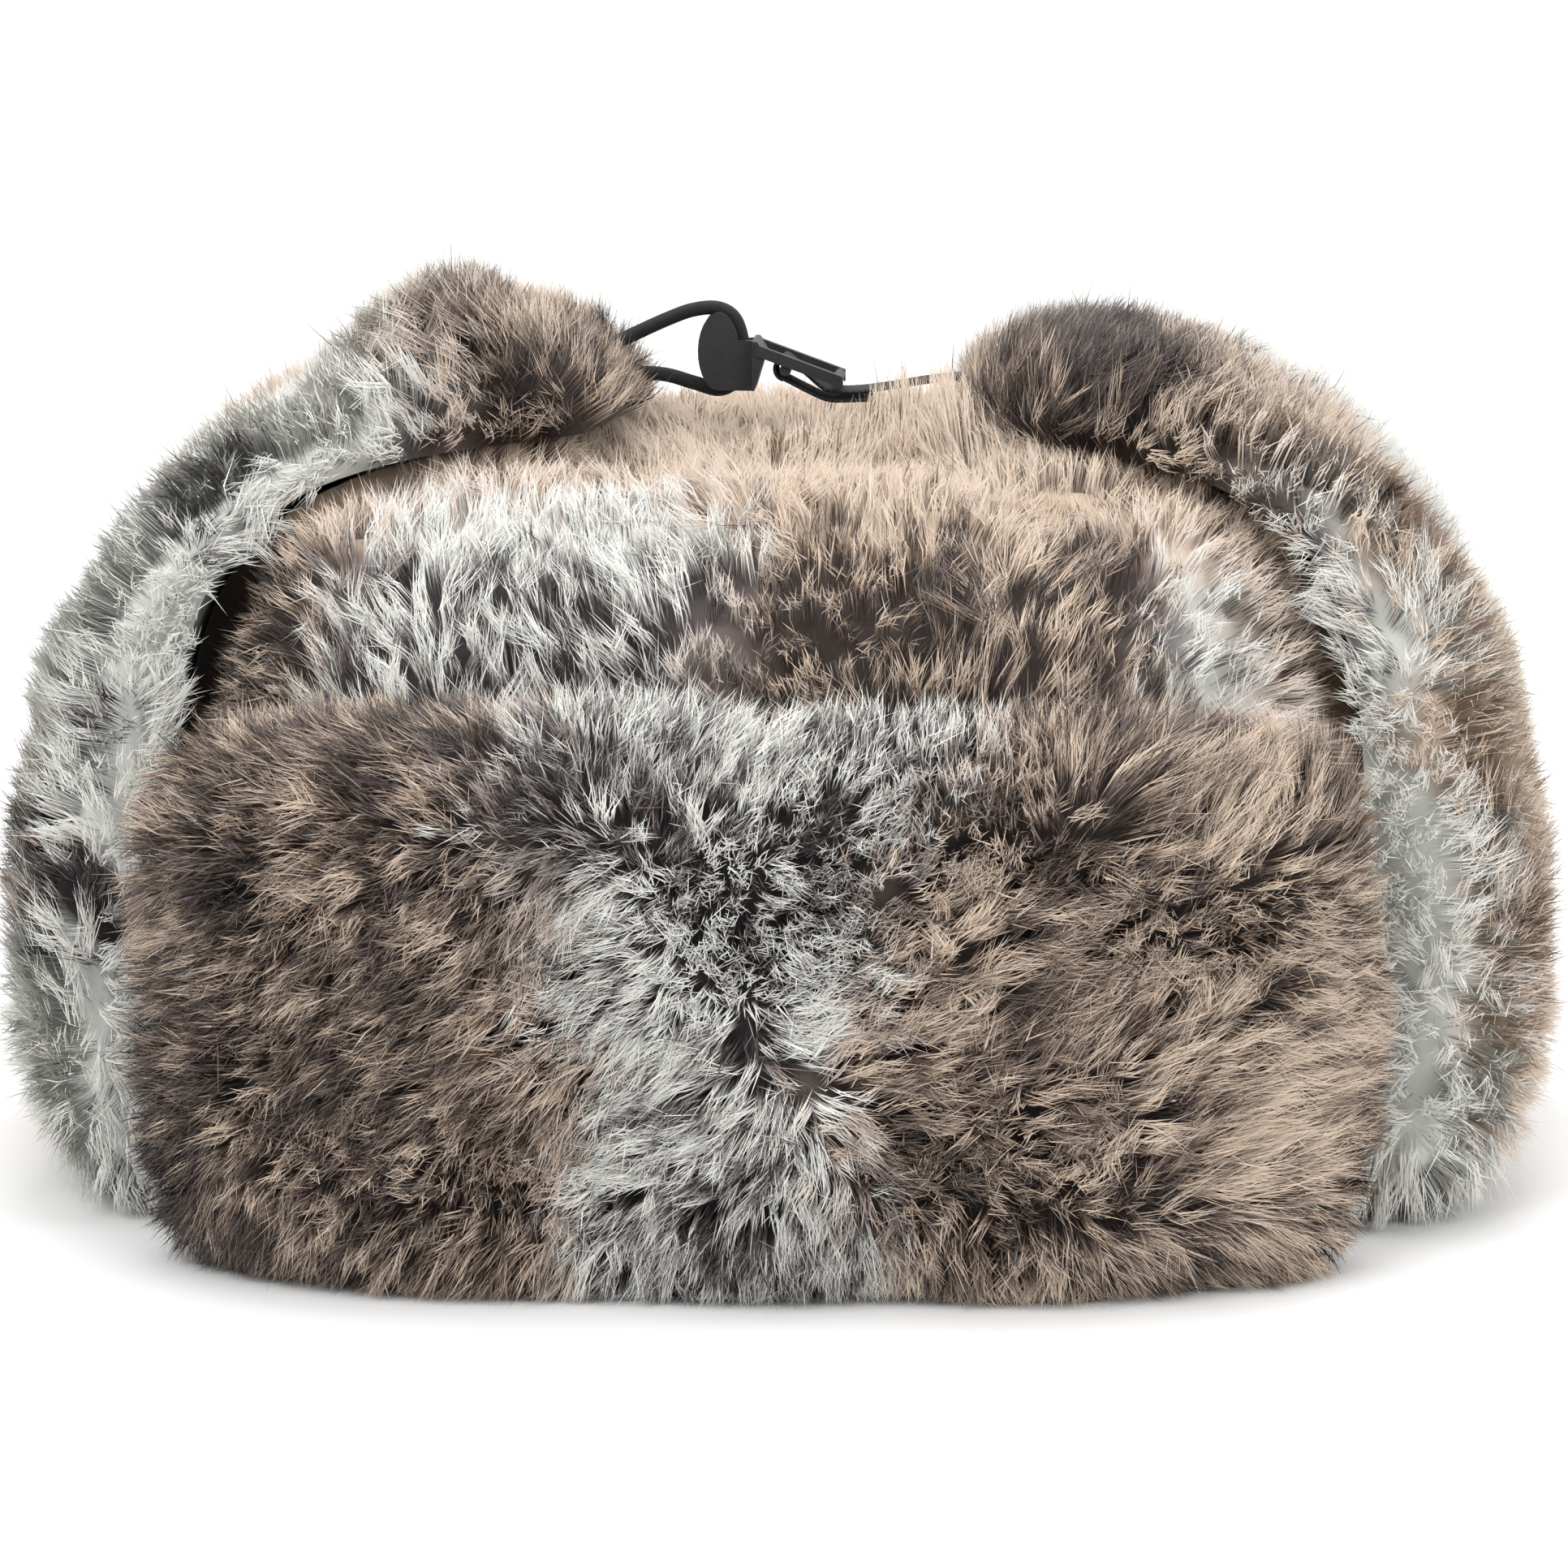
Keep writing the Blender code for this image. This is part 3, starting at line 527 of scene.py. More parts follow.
def right_ear_silver(points):
    """Brown over the crown and behind, silver low at the front edge, a blush along the tip."""
    x = points[:, 0] + 0.018 * (value_noise(points, 0.016, 41) - 0.5)
    z = points[:, 2] + 0.018 * (value_noise(points, 0.014, 42) - 0.5)
    y = points[:, 1] + 0.014 * (value_noise(points, 0.018, 44) - 0.5)
    edge = np.interp(z, (0.010, 0.038, 0.060, 0.093, 0.117, 0.127),
                     (0.117, 0.118, 0.1135, 0.107, 0.097, 0.085))
    front = smooth_step(x, 0.070, 0.084) * (1 - smooth_step(x, edge - 0.003, edge + 0.003))
    front *= (1 - smooth_step(y, -0.050, -0.036)) * (1 - smooth_step(z, 0.112, 0.124))
    rear = smooth_step(points[:, 1], 0.010, 0.040) * bands(points, 43)
    blush = 0.40 * smooth_step(points[:, 2], 0.134, 0.144) * (1 - smooth_step(x, 0.060, 0.075))
    return np.clip(front + rear + blush, 0, 1)


def right_ear_tone(points):
    """Dark hair behind the tip, paler along the flap's top and at the outer side."""
    x, z = points[:, 0], points[:, 2]
    dark = np.exp(-(((x - 0.055) / 0.014) ** 2) - ((z - 0.133) / 0.008) ** 2)
    dark += np.exp(-(((x - 0.078) / 0.012) ** 2)) * smooth_step(-points[:, 1], 0.050, 0.066)
    top = smooth_step(z - 0.9 * np.maximum(0.0, 0.060 - x), 0.128, 0.142)
    return 0.90 + 1.05 * smooth_step(x, 0.080, 0.105) + 0.70 * top - 2.40 * dark


def neck_silver(points):
    return bands(points, 53)


def neck_tone(points):
    return 0.4 * (value_noise(points, 0.03, 54) - 0.5)


def from_partings(points, partings):
    """Vectors to points from the nearest places on the parting lines, and their lengths: each
    point dropped onto each straight stretch, (p - a) less its share along (b - a) held in 0..1."""
    stretches = np.array([
        pair for line in partings for pair in zip(line, line[1:])
    ], float) / 1000
    first, along = stretches[:, 0], stretches[:, 1] - stretches[:, 0]
    away = points[:, None] - first
    share = np.clip(np.sum(away * along, axis=2) / np.sum(along**2, axis=1), 0, 1)
    away -= share[..., None] * along
    reach = np.linalg.norm(away, axis=2)
    nearest = np.argmin(reach, axis=1)
    pick = np.arange(len(points))
    return away[pick, nearest], reach[pick, nearest]


def upright_lie(z, low, high):
    """Down by a share below the low height, up by a share above the high one."""
    return smooth_step(z, *high) - 2.2 * (1 - smooth_step(z, *low))


def brow_lie(points):
    """To both sides of a long slanting parting from the top left to the bottom right, up at the
    top and down at the fold."""
    across = ((points[:, 0] + 0.025) * 0.837 + (points[:, 2] - 0.084) * 0.548) / 0.007
    side = 1.1 * np.tanh(across)
    up = upright_lie(points[:, 2], (0.004, 0.024), (0.058, 0.082))
    return np.stack([0.837 * side, 0 * side, 0.548 * side + 1.1 * up], axis=1)


def crown_lie(points):
    """Up and outwards over the brow, then back over the top."""
    front = 1 - smooth_step(points[:, 1], -0.095, -0.070)
    return np.stack([8.0 * points[:, 0] * front, 0.9 * (1 - front), 1.3 * front], axis=1)


def ear_lie(points):
    """Forwards at the front edge and backwards from a slanting line behind it, down at the fold
    and up above it."""
    y, z = points[:, 1], points[:, 2]
    up = upright_lie(z, (0.004, 0.024), (0.030, 0.070))
    along = 0.9 * np.tanh((y + 0.048 - 0.35 * (z - 0.050)) / 0.014)
    return np.stack([0.5 * np.sign(points[:, 0]), along, 1.1 * up], axis=1)


def neck_lie(points):
    """To both sides of a slanting line, down at the fold and up at the top."""
    up = upright_lie(points[:, 2], (0.004, 0.024), (0.035, 0.070))
    side = 0.9 * np.tanh((points[:, 0] - 0.030 + 1.2 * (points[:, 2] - 0.043)) / 0.014)
    return np.stack([side, 0 * up, 1.1 * up], axis=1)


def pile_flow(points, lie, partings, seed):
    """Which way the hair lies: its flap's own lie, down the slopes of two smooth noises, away
    from the crease lines where a third noise crosses its level, and away from the named partings
    within a hair's length."""
    flow = lie(points)
    flow += 0.85 * noise_slope(points, 0.030, seed) + 0.45 * noise_slope(points, 0.013, seed + 1)
    crease = value_noise(points, 0.026, seed + 2) - 0.5
    slope = unit(noise_slope(points, 0.026, seed + 2))
    flow += 0.5 * (np.sign(crease) * np.exp(-((crease / 0.12) ** 2)))[:, None] * slope
    away, reach = from_partings(points, partings)
    flow += PARTING_PUSH * unit(away) * np.exp(-((reach / PARTING_SPAN) ** 2))[:, None]
    return flow


# ---------------------------------------------------------------- materials


def add_node(tree, kind, links=(), values=(), **settings):
    """One node with its settings, its socket values and the sockets linked into it."""
    node = tree.nodes.new(kind)
    for setting, value in settings.items():
        setattr(node, setting, value)
    for socket, value in values:
        node.inputs[socket].default_value = value
    for socket, source in links:
        tree.links.new(source, node.inputs[socket])
    return node


def new_material(name):
    """An empty material with one Principled shader; returns it, its tree and the shader."""
    made = bpy.data.materials.new(name)
    made.use_nodes = True
    tree = made.node_tree
    tree.nodes.clear()
    shader = add_node(tree, "ShaderNodeBsdfPrincipled")
    add_node(tree, "ShaderNodeOutputMaterial", links=[("Surface", shader.outputs[0])])
    return made, tree, shader


def set_stops(ramp, stops):
    stops = list(stops)
    while len(ramp.elements) < len(stops):
        ramp.elements.new(1.0)
    for element, (place, colour) in zip(ramp.elements, stops):
        element.position = place
        element.color = colour


def pile_material(name):
    """Modacrylic faux fur: matt crimped fibres, dark at the backing and pale at the tips, with
    a faint gloss along the guard hairs. Brown and silver hair and the pink-grey between."""
    colours = bpy.context.scene.ushanka_colours
    made, tree, shader = new_material(name)
    along, silver, tone, inside = (
        add_node(tree, "ShaderNodeAttribute", attribute_name=word).outputs["Fac"]
        for word in ("along", "silver", "tone", "inside")
    )
    lift = add_node(
        tree, "ShaderNodeMath", operation="MULTIPLY_ADD", values=[(1, TONE_SHARE), (2, TONE_SHIFT)],
        links=[(0, tone)],
    )
    spread = add_node(
        tree, "ShaderNodeMath", operation="MULTIPLY_ADD", values=[(1, HAIR_SHARE)],
        links=[(0, along), (2, lift.outputs[0])],
    )
    brown, pale = (
        add_node(tree, "ShaderNodeValToRGB", links=[("Fac", spread.outputs[0])])
        for _ in range(2)
    )
    set_stops(brown.color_ramp, zip(BROWN_STOPS, (
        colours.brown_root, colours.brown_shaft, colours.brown_hair, colours.brown_tip,
    )))
    set_stops(pale.color_ramp, zip(SILVER_STOPS, (
        colours.silver_root, colours.silver_shaft, colours.silver_hair, colours.silver_tip,
    )))
    both = add_node(
        tree, "ShaderNodeMix", data_type="RGBA",
        links=[(0, silver), (6, brown.outputs[0]), (7, pale.outputs[0])],
    )
    other = add_node(
        tree, "ShaderNodeMath", operation="SUBTRACT", values=[(0, 1.0)], links=[(1, silver)]
    )
    border = add_node(
        tree, "ShaderNodeMath", operation="MULTIPLY", links=[(0, silver), (1, other.outputs[0])]
    )
    blush = add_node(
        tree, "ShaderNodeMath", operation="MULTIPLY", links=[(0, border.outputs[0]), (1, along)]
    )
    blushed = add_node(
        tree, "ShaderNodeMath", operation="MULTIPLY", use_clamp=True, values=[(1, BLUSH_GAIN)],
        links=[(0, blush.outputs[0])],
    )
    hair = add_node(
        tree, "ShaderNodeMix", data_type="RGBA", values=[(7, colours.blush)],
        links=[(0, blushed.outputs[0]), (6, both.outputs[2])],
    )
    # Twill lining: ribs 0.9 mm apart on the slant, drawn twice as coarse as the real weave, with
    # painted shade between them.
    place = add_node(tree, "ShaderNodeTexCoord")
    ribs = add_node(
        tree, "ShaderNodeTexWave", bands_direction="DIAGONAL",
        values=[("Scale", 350.0), ("Distortion", 0.6), ("Detail", 2.0)],
        links=[("Vector", place.outputs["Object"])],
    )
    cloth = add_node(
        tree, "ShaderNodeMix", data_type="RGBA",
        values=[(6, colours.lining_painted_shade), (7, colours.lining)], links=[(0, ribs.outputs["Fac"])],
    )
    surface = add_node(
        tree, "ShaderNodeMix", data_type="RGBA",
        links=[(0, inside), (6, hair.outputs[2]), (7, cloth.outputs[2])],
    )
    tree.links.new(surface.outputs[2], shader.inputs["Base Color"])
    # Crimp and lustre vary hair by hair, over about 2 mm.
    crimp = add_node(
        tree, "ShaderNodeTexNoise", values=[("Scale", 480.0), ("Detail", 3.0)],
        links=[("Vector", place.outputs["Object"])],
    )
    matt = add_node(
        tree, "ShaderNodeMapRange", values=[("To Min", 0.48), ("To Max", 0.78)],
        links=[("Value", crimp.outputs["Fac"])],
    )
    tree.links.new(matt.outputs[0], shader.inputs["Roughness"])
    bump = add_node(
        tree, "ShaderNodeBump", values=[("Strength", 0.15), ("Distance", 0.0004)],
        links=[("Height", crimp.outputs["Fac"])],
    )
    tree.links.new(bump.outputs[0], shader.inputs["Normal"])
    shader.inputs["Specular IOR Level"].default_value = 0.22
    shader.inputs["Sheen Weight"].default_value = 0.12
    shader.inputs["Sheen Roughness"].default_value = 0.5
    return made


def finish(tree, shader, share, shades, roughness, height, relief):
    """Two shades and a range of roughness by one share, and a relief of (strength, depth)."""
    tint = add_node(
        tree, "ShaderNodeMix", data_type="RGBA", values=[(6, shades[0]), (7, shades[1])],
        links=[(0, share)],
    )
    rough = add_node(
        tree, "ShaderNodeMapRange", values=[("To Min", roughness[0]), ("To Max", roughness[1])],
        links=[("Value", share)],
    )
    bump = add_node(
        tree, "ShaderNodeBump", values=[("Strength", relief[0]), ("Distance", relief[1])],
        links=[("Height", height)],
    )
    for socket, node in (("Base Color", tint), ("Roughness", rough), ("Normal", bump)):
        tree.links.new(node.outputs[2 if node is tint else 0], shader.inputs[socket])


def elastic_material():
    """Covered elastic: black polyester braid over rubber, its plaits about 0.8 mm long, dull with
    a soft shine on each crossing."""
    colours = bpy.context.scene.ushanka_colours
    made, tree, shader = new_material("braided_polyester_elastic")
    place = add_node(tree, "ShaderNodeTexCoord")
    plaits = []
    for slant in (1.0, -1.0):
        turned = add_node(
            tree, "ShaderNodeMapping", vector_type="POINT",
            values=[("Rotation", (0.0, 0.0, slant * math.radians(38)))],
            links=[("Vector", place.outputs["UV"])],
        )
        plaits.append(add_node(
            tree, "ShaderNodeTexWave", values=[("Scale", 1.3)],
            links=[("Vector", turned.outputs[0])],
        ))
    braid = add_node(
        tree, "ShaderNodeMath", operation="MAXIMUM",
        links=[(0, plaits[0].outputs["Fac"]), (1, plaits[1].outputs["Fac"])],
    )
    # Painted shade: darker between the plaits than on their crossings.
    finish(
        tree, shader, braid.outputs[0], (colours.elastic_painted_shade, colours.elastic), (0.75, 0.50),
        braid.outputs[0], (0.7, 0.00025),
    )
    return made


def plastic_material():
    """Injection-moulded acetal: near black, with the fine spark-eroded grain of its mould, which
    scatters the light into a soft grey bloom; that bloom is painted sheen, lighter and rougher
    patches at random."""
    colours = bpy.context.scene.ushanka_colours
    made, tree, shader = new_material("moulded_acetal")
    place = add_node(tree, "ShaderNodeTexCoord")
    # Grain 0.35 mm across, about double the real one so that it shows.
    grain = add_node(
        tree, "ShaderNodeTexNoise", values=[("Scale", 2800.0), ("Detail", 2.0)],
        links=[("Vector", place.outputs["Object"])],
    )
    # Painted sheen: lighter, rougher grey patches stand for the soft bloom of light off the grain.
    painted_bloom = add_node(
        tree, "ShaderNodeTexNoise", values=[("Scale", 420.0), ("Detail", 4.0)],
        links=[("Vector", place.outputs["Object"])],
    )
    finish(
        tree, shader, painted_bloom.outputs["Fac"], (colours.plastic, colours.plastic_painted_bloom), (0.38, 0.62),
        grain.outputs["Fac"], (0.45, 0.0001),
    )
    shader.inputs["IOR"].default_value = 1.48
    return made


def webbing_material():
    """Woven polyester webbing: ribs across it 1.1 mm apart from its warp, with the weft's fine
    teeth between, dull black, with painted shade in the hollows of the weave so the raised threads
    read grey."""
    colours = bpy.context.scene.ushanka_colours
    made, tree, shader = new_material("woven_polyester_webbing")
    place = add_node(tree, "ShaderNodeTexCoord")
    split = add_node(tree, "ShaderNodeSeparateXYZ", links=[("Vector", place.outputs["UV"])])
    waves = []
    # The UV map counts millimetres: u across the strap, v along it.
    for output, pitch in (("X", 0.8), ("Y", 1.1)):
        turned = add_node(
            tree, "ShaderNodeMath", operation="MULTIPLY", values=[(1, 2 * math.pi / pitch)],
            links=[(0, split.outputs[output])],
        )
        wave = add_node(
            tree, "ShaderNodeMath", operation="SINE", links=[(0, turned.outputs[0])]
        )
        waves.append(wave.outputs[0])
    crossed = add_node(
        tree, "ShaderNodeMath", operation="MULTIPLY", links=[(0, waves[0]), (1, waves[1])]
    )
    weave = add_node(
        tree, "ShaderNodeMapRange", values=[("From Min", -1.0), ("From Max", 1.0)],
        links=[("Value", crossed.outputs[0])],
    )
    # Painted shade: the weave's hollows darker than its raised threads.
    finish(
        tree, shader, weave.outputs[0], (colours.webbing_painted_shade, colours.webbing), (0.85, 0.62),
        weave.outputs[0], (0.8, 0.0002),
    )
    return made


# ---------------------------------------------------------------- building the pile


def pelt_object(name, outside, inside, silver, tone, material):
    """A closed pelt from two grids that share their border."""
    rows, columns = outside.shape[:2]
    outer_index = np.arange(rows * columns).reshape(rows, columns)
    inner_index = outer_index.copy()
    inner_index[1:-1, 1:-1] = rows * columns + np.arange((rows - 2) * (columns - 2)).reshape(
        rows - 2, columns - 2
    )
    points = np.vstack([outside.reshape(-1, 3), inside[1:-1, 1:-1].reshape(-1, 3)])
    outer, inner = grid_quads(outer_index), grid_quads(inner_index)
    normals = np.cross(np.gradient(outside, axis=0), np.gradient(outside, axis=1))
    middle = inside.mean(axis=(0, 1))
    if np.sum(normals * (outside - middle)) > 0:
        inner = inner[:, ::-1]
    else:
        outer = outer[:, ::-1]
    made = mesh_object(
        name, points, quads=np.vstack([outer, inner]),
        attributes={
            "along": np.full(len(points), PELT_SHARE),
            "silver": silver(points),
            "tone": tone(points) + PELT_SHADE,
            "inside": np.zeros(len(points)),
        },
    )
    made.data.materials.append(material)
    return made


def spread_clumps(grid, normals, weight, count, rng):
    """Points strewn evenly over a grid's area: even steps of the summed area of its cells, taken
    row by row, each landing anywhere in its cell. Returns the points and their normals."""
    sides = np.cross(grid[1:, :-1] - grid[:-1, :-1], grid[:-1, 1:] - grid[:-1, :-1])
    area = np.linalg.norm(sides, axis=-1)
    area = area * (weight[1:, 1:] + weight[:-1, :-1]) / 2
    total = np.cumsum(area.ravel())
    steps = (np.arange(count) + rng.random(count)) / count * total[-1]
    cell = np.minimum(np.searchsorted(total, steps), area.size - 1)
    row, column = np.divmod(cell, area.shape[1])
    u, v = rng.random((2, count, 1))

    def blended(values):
        return (
            values[row, column] * (1 - u) * (1 - v)
            + values[row + 1, column] * u * (1 - v)
            + values[row, column + 1] * (1 - u) * v
            + values[row + 1, column + 1] * u * v
        )

    return blended(grid), unit(blended(normals))


def pile_object(name, roots, normals, flow, silver, tone, height, partings, material, seed):
    """Clumps of flat tapering hairs. Each clump leans along the flow; its hairs start apart on
    the pelt, rise, bend over past half way and close towards one tip. A hair is a kite: a point
    at its root, a pair at its bend and a point at its tip."""
    pile = bpy.context.scene.ushanka_pile
    rng = np.random.default_rng(seed)
    count = len(roots)
    flow = flow + 0.30 * rng.normal(size=flow.shape)
    lie = unit(flow - np.sum(flow * normals, axis=1, keepdims=True) * normals)
    strength = np.clip(np.linalg.norm(flow, axis=1), 0.35, 1.6)
    beside = np.cross(normals, lie)
    lump = value_noise(roots, 0.019, seed)
    tuft = value_noise(roots, 0.007, seed + 1)
    length = height * (0.74 + 0.30 * lump + 0.16 * tuft) * rng.normal(1.0, 0.05, count)
    laid = smooth_step(value_noise(roots, 0.020, seed + 6), 0.25, 0.75)
    reach = pile.lean * (0.18 + 0.80 * laid) * (0.6 + 0.4 * strength)
    reach = reach * rng.normal(1.0, 0.18, count)
    _, apart = from_partings(roots, partings)
    clump_silver = np.clip(silver(roots + 0.003 * rng.normal(size=(count, 3))), 0, 1)
    # The clump's tone, darkened near a parting by painted shade: the crease's shade, with the dark
    # shafts that show there.
    clump_tone = (
        tone(roots)
        + sum(gain * (value_noise(roots, cell, seed + step) - 0.5)
              for cell, step, gain in TONE_WAVES)
        + CLUMP_TONE * rng.normal(size=count)
        - PARTING_PAINTED_SHADE * np.exp(-((apart / PARTING_REACH) ** 2))
    )

    hairs = pile.hairs
    pick = np.repeat(np.arange(count), hairs)
    total = len(pick)
    n, t, s = normals[pick], lie[pick], beside[pick]
    far = pile.clump_spread * np.sqrt(rng.random((total, 1)))
    turn = 2 * math.pi * rng.random((total, 1))
    offset = far * (np.cos(turn) * t + np.sin(turn) * s)
    up = length[pick, None] * rng.normal(0.97, 0.10, (total, 1))
    out = reach[pick, None] * rng.normal(1.0, 0.12, (total, 1))
    stray = rng.random((total, 1)) < STRAY_SHARE
    up, out = np.where(stray, up * 1.08, up), np.where(stray, out * 0.8, out)
    root = roots[pick] + offset - n * ROOT_DEPTH
    curl = pile.clump_spread * 0.8 * rng.normal(size=(count, 1))[pick] * s
    bend = roots[pick] + offset * 0.85 + n * up * BEND_HEIGHT + t * out * BEND_REACH
    bend += curl * 0.35
    loose = np.where(stray, 0.0020, 0.0008) * rng.normal(size=(total, 3))
    tip = roots[pick] + offset * 0.60 + n * up + t * out + curl + loose

    swing = math.radians(35) * rng.uniform(-1, 1, (total, 1))
    run = unit(tip - bend)
    width = unit(np.cross(n, run))
    width = width * np.cos(swing) + np.cross(run, width) * np.sin(swing)
    half = 0.5 * pile.hair_width * rng.uniform(0.7, 1.3, (total, 1)) * width
    points = np.stack([root, bend - half, bend + half, tip], axis=1)
    points[..., 2] = np.maximum(points[..., 2], FLOOR_CLEARANCE)
    first = 4 * np.arange(total)[:, None]
    triangles = np.concatenate([first + (0, 2, 1), first + (1, 2, 3)], axis=1).reshape(-1, 3)
    side = np.sum(np.cross(half, tip - bend) * n, axis=1)
    flip = np.repeat(side < 0, 2)
    triangles[flip] = triangles[flip][:, ::-1]

    along = np.tile([0.0, 0.60, 0.60, 1.0], total)
    hair_tone = clump_tone[pick] + HAIR_TONE * rng.normal(size=total)
    hair_silver = np.clip(clump_silver[pick] + HAIR_SILVER * rng.normal(size=total), 0, 1)
    made = mesh_object(
        name, points.reshape(-1, 3), triangles=triangles,
        attributes={
            "along": along,
            "silver": np.repeat(hair_silver, 4),
            "tone": np.repeat(hair_tone, 4),
            "inside": np.zeros(4 * total),
        },
    )
    lit = unit(n + 0.45 * offset / pile.clump_spread + 0.25 * np.cross(run, width))
    lit = np.repeat(lit, 4, axis=0)
    made.data.normals_split_custom_set_from_vertices(lit.astype(np.float32))
    made.data.materials.append(material)
    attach(made, "root")
    return made


def dressed_flap(node, pelt, grids, silver, tone, lie, partings, slot, clumps, seed):
    """One flap: a padded pelt in place of its node and the pile that grows from it."""
    material = bpy.data.materials.get(slot[1]) or pile_material(slot[1])
    outside, inside = pelt(*grids["pelt"])
    body = pelt_object(f"{node}_pelt", outside, inside, silver, tone, material)
    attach(body, "root")
    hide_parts(node)
    fine, lining = pelt(*grids["fine"])
    middle = lining.mean(axis=(0, 1))
    normals = grid_normals(fine, middle)
    rng = np.random.default_rng(seed)
    roots, upright = spread_clumps(fine, normals, np.ones(fine.shape[:2]), clumps, rng)
    flow = pile_flow(roots, lie, partings, seed)
    # Round the flap's edges the hair leans in towards the crown and closes the gap.
    rise = skin_rise(roots)
    wall = 1 - np.abs(np.sum(upright * rise, axis=1))
    flow -= 1.1 * smooth_step(wall, 0.50, 0.95)[:, None] * rise
    height = bpy.context.scene.ushanka_pile.height
    low = smooth_step(roots[:, 2], 0.004, 0.016)
    pile = pile_object(
        f"{node}_pile", roots, upright, flow, silver, tone, height * (0.85 + 0.15 * low),
        partings, material, seed + 5,
    )
    return body, pile


# ---------------------------------------------------------------- properties


def length_property(name, description, metres):
    return bpy.props.FloatProperty(
        name=name, description=description, default=metres, unit="LENGTH"
    )


class PileSizes(bpy.types.PropertyGroup):
    """How the pile grows."""

    height: length_property("Pile height", "From the pelt to the tips on the flaps", 0.0092)
    crown_height: length_property(
        "Crown pile height", "From the pelt to the tips on the bare crown", 0.0072
    )
    lean: length_property("Lean", "How far a tip lies from its root along the pelt", 0.0075)
    clump_spread: length_property(
        "Clump spread", "Radius of a clump of hairs at the pelt", 0.0016
    )
    hair_width: length_property(
        "Hair width", "Width of a drawn hair, which stands for a few fibres", 0.00022
    )
    hairs: bpy.props.IntProperty(
        name="Hairs to a clump", description="Drawn hairs in each clump", default=16,
    )
    edge_inset: length_property("Edge inset", "From a flap's outline to its pelt", 0.0072)
    hem_inset: length_property("Hem inset", "From a flap's fold to its pelt", 0.0022)
    tip_inset: length_property("Tip inset", "From an ear flap's tip to its pelt", 0.0050)


def colour_property(name, description, hex_colour):
    return bpy.props.FloatVectorProperty(
        name=name, description=description, subtype="COLOR", size=4, min=0, max=1,
        default=linear(hex_colour),
    )


class UshankaColours(bpy.types.PropertyGroup):
    """Colours of the pile, the lining and the fastening."""

    brown_root: colour_property("Brown root", "Brown hair at the pelt", "#211917")
    brown_shaft: colour_property("Brown shaft", "Brown hair at its bend", "#352a24")
    brown_hair: colour_property("Brown hair", "Brown hair towards its tip", "#7a6554")
    brown_tip: colour_property("Brown tip", "Tips of the brown hair", "#c6b29e")
    silver_root: colour_property("Silver root", "Silver hair at the pelt", "#211c1d")
    silver_shaft: colour_property("Silver shaft", "Silver hair at its bend", "#383334")
    silver_hair: colour_property("Silver hair", "Silver hair towards its tip", "#999794")
    silver_tip: colour_property("Silver tip", "Tips of the silver hair", "#dadbd6")
    blush: colour_property("Blush", "Tips where brown meets silver", "#d6c2b8")
    lining: colour_property("Lining", "Twill lining in the hollow", "#4b4139")
    # Painted shade: the hollows between the twill's ribs.
    lining_painted_shade: colour_property("Lining shade", "Between the twill's ribs", "#2b2521")
    elastic: colour_property("Elastic", "Braided elastic", "#17171a")
    # Painted shade: the hollows between the elastic's plaits.
    elastic_painted_shade: colour_property("Elastic shade", "Between its plaits", "#08080a")
    plastic: colour_property("Plastic", "Moulded clip", "#111114")
    # Painted sheen: the lighter grey of the clip's soft bloom of scattered light.
    plastic_painted_bloom: colour_property("Plastic painted bloom", "Painted grey bloom of light on the clip", "#212126")
    webbing: colour_property("Webbing", "Strap webbing", "#1a1a1e")
    # Painted shade: the hollows between the webbing's ribs.
    webbing_painted_shade: colour_property("Webbing shade", "Between its ribs", "#0c0c0f")
    floor: colour_property("Floor", "Studio floor", "#f4f4f4")


# ---------------------------------------------------------------- operators


class USHANKA_OT_camera(bpy.types.Operator):
    """The photograph's viewpoint: a long lens, almost level and almost straight on"""

    bl_idname = "ushanka.camera"
    bl_label = "Camera"

    def execute(self, context):
        azimuth, elevation, distance = math.radians(2.5), math.radians(9.3), 1.1
        aim = Vector((0.0, 0.0, 0.061))
        lens = bpy.data.cameras.new("photo_camera")
        lens.lens, lens.sensor_width = 144.7, 36.0
        lens.clip_start, lens.clip_end = 0.05, 20.0
        camera = bpy.data.objects.new("photo_camera", lens)
        away = Vector((
            math.sin(azimuth) * math.cos(elevation),
            -math.cos(azimuth) * math.cos(elevation),
            math.sin(elevation),
        ))
        camera.location = aim + away * distance
        camera.rotation_euler = (-away).to_track_quat("-Z", "Y").to_euler()
        context.scene.collection.objects.link(camera)
        context.scene.camera = camera
        return {"FINISHED"}


class USHANKA_OT_elastic(bpy.types.Operator):
    """The round elastic out of the left flap's tip, round the clip's head and back in"""

    bl_idname = "ushanka.elastic"
    bl_label = "Elastic loop"

    def execute(self, context):
        route = np.array([(x, CLIP_DEPTH_PLACE, z) for x, z in LOOP_ROUTE])
        path = smooth_line(route, 9)
        tangents, normals, across = frames_along(path)
        turn = np.linspace(0, 2 * math.pi, 24, endpoint=False)
        radius = LOOP_DIAMETER / 2
        rings = path[:, None] + radius * (
            np.cos(turn)[None, :, None] * normals[:, None]
            + np.sin(turn)[None, :, None] * across[:, None]
        )
        points, quads, caps = capped_tube(rings, path, turned=True)
        step = np.linalg.norm(np.diff(path, axis=0), axis=1)
        run = np.concatenate([[0], np.cumsum(step)]) * 1000
        uv = np.stack(np.meshgrid(run, turn / (2 * math.pi) * 7.85, indexing="ij"), axis=-1)
        uv = np.vstack([uv.reshape(-1, 2), [[0, 0], [run[-1], 0]]])
        made = mesh_object("elastic_loop_braid", points, quads=quads, triangles=caps, uv=uv)
        made.data.materials.append(elastic_material())
        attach(made, "root")
        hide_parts("elastic_loop")
        return {"FINISHED"}


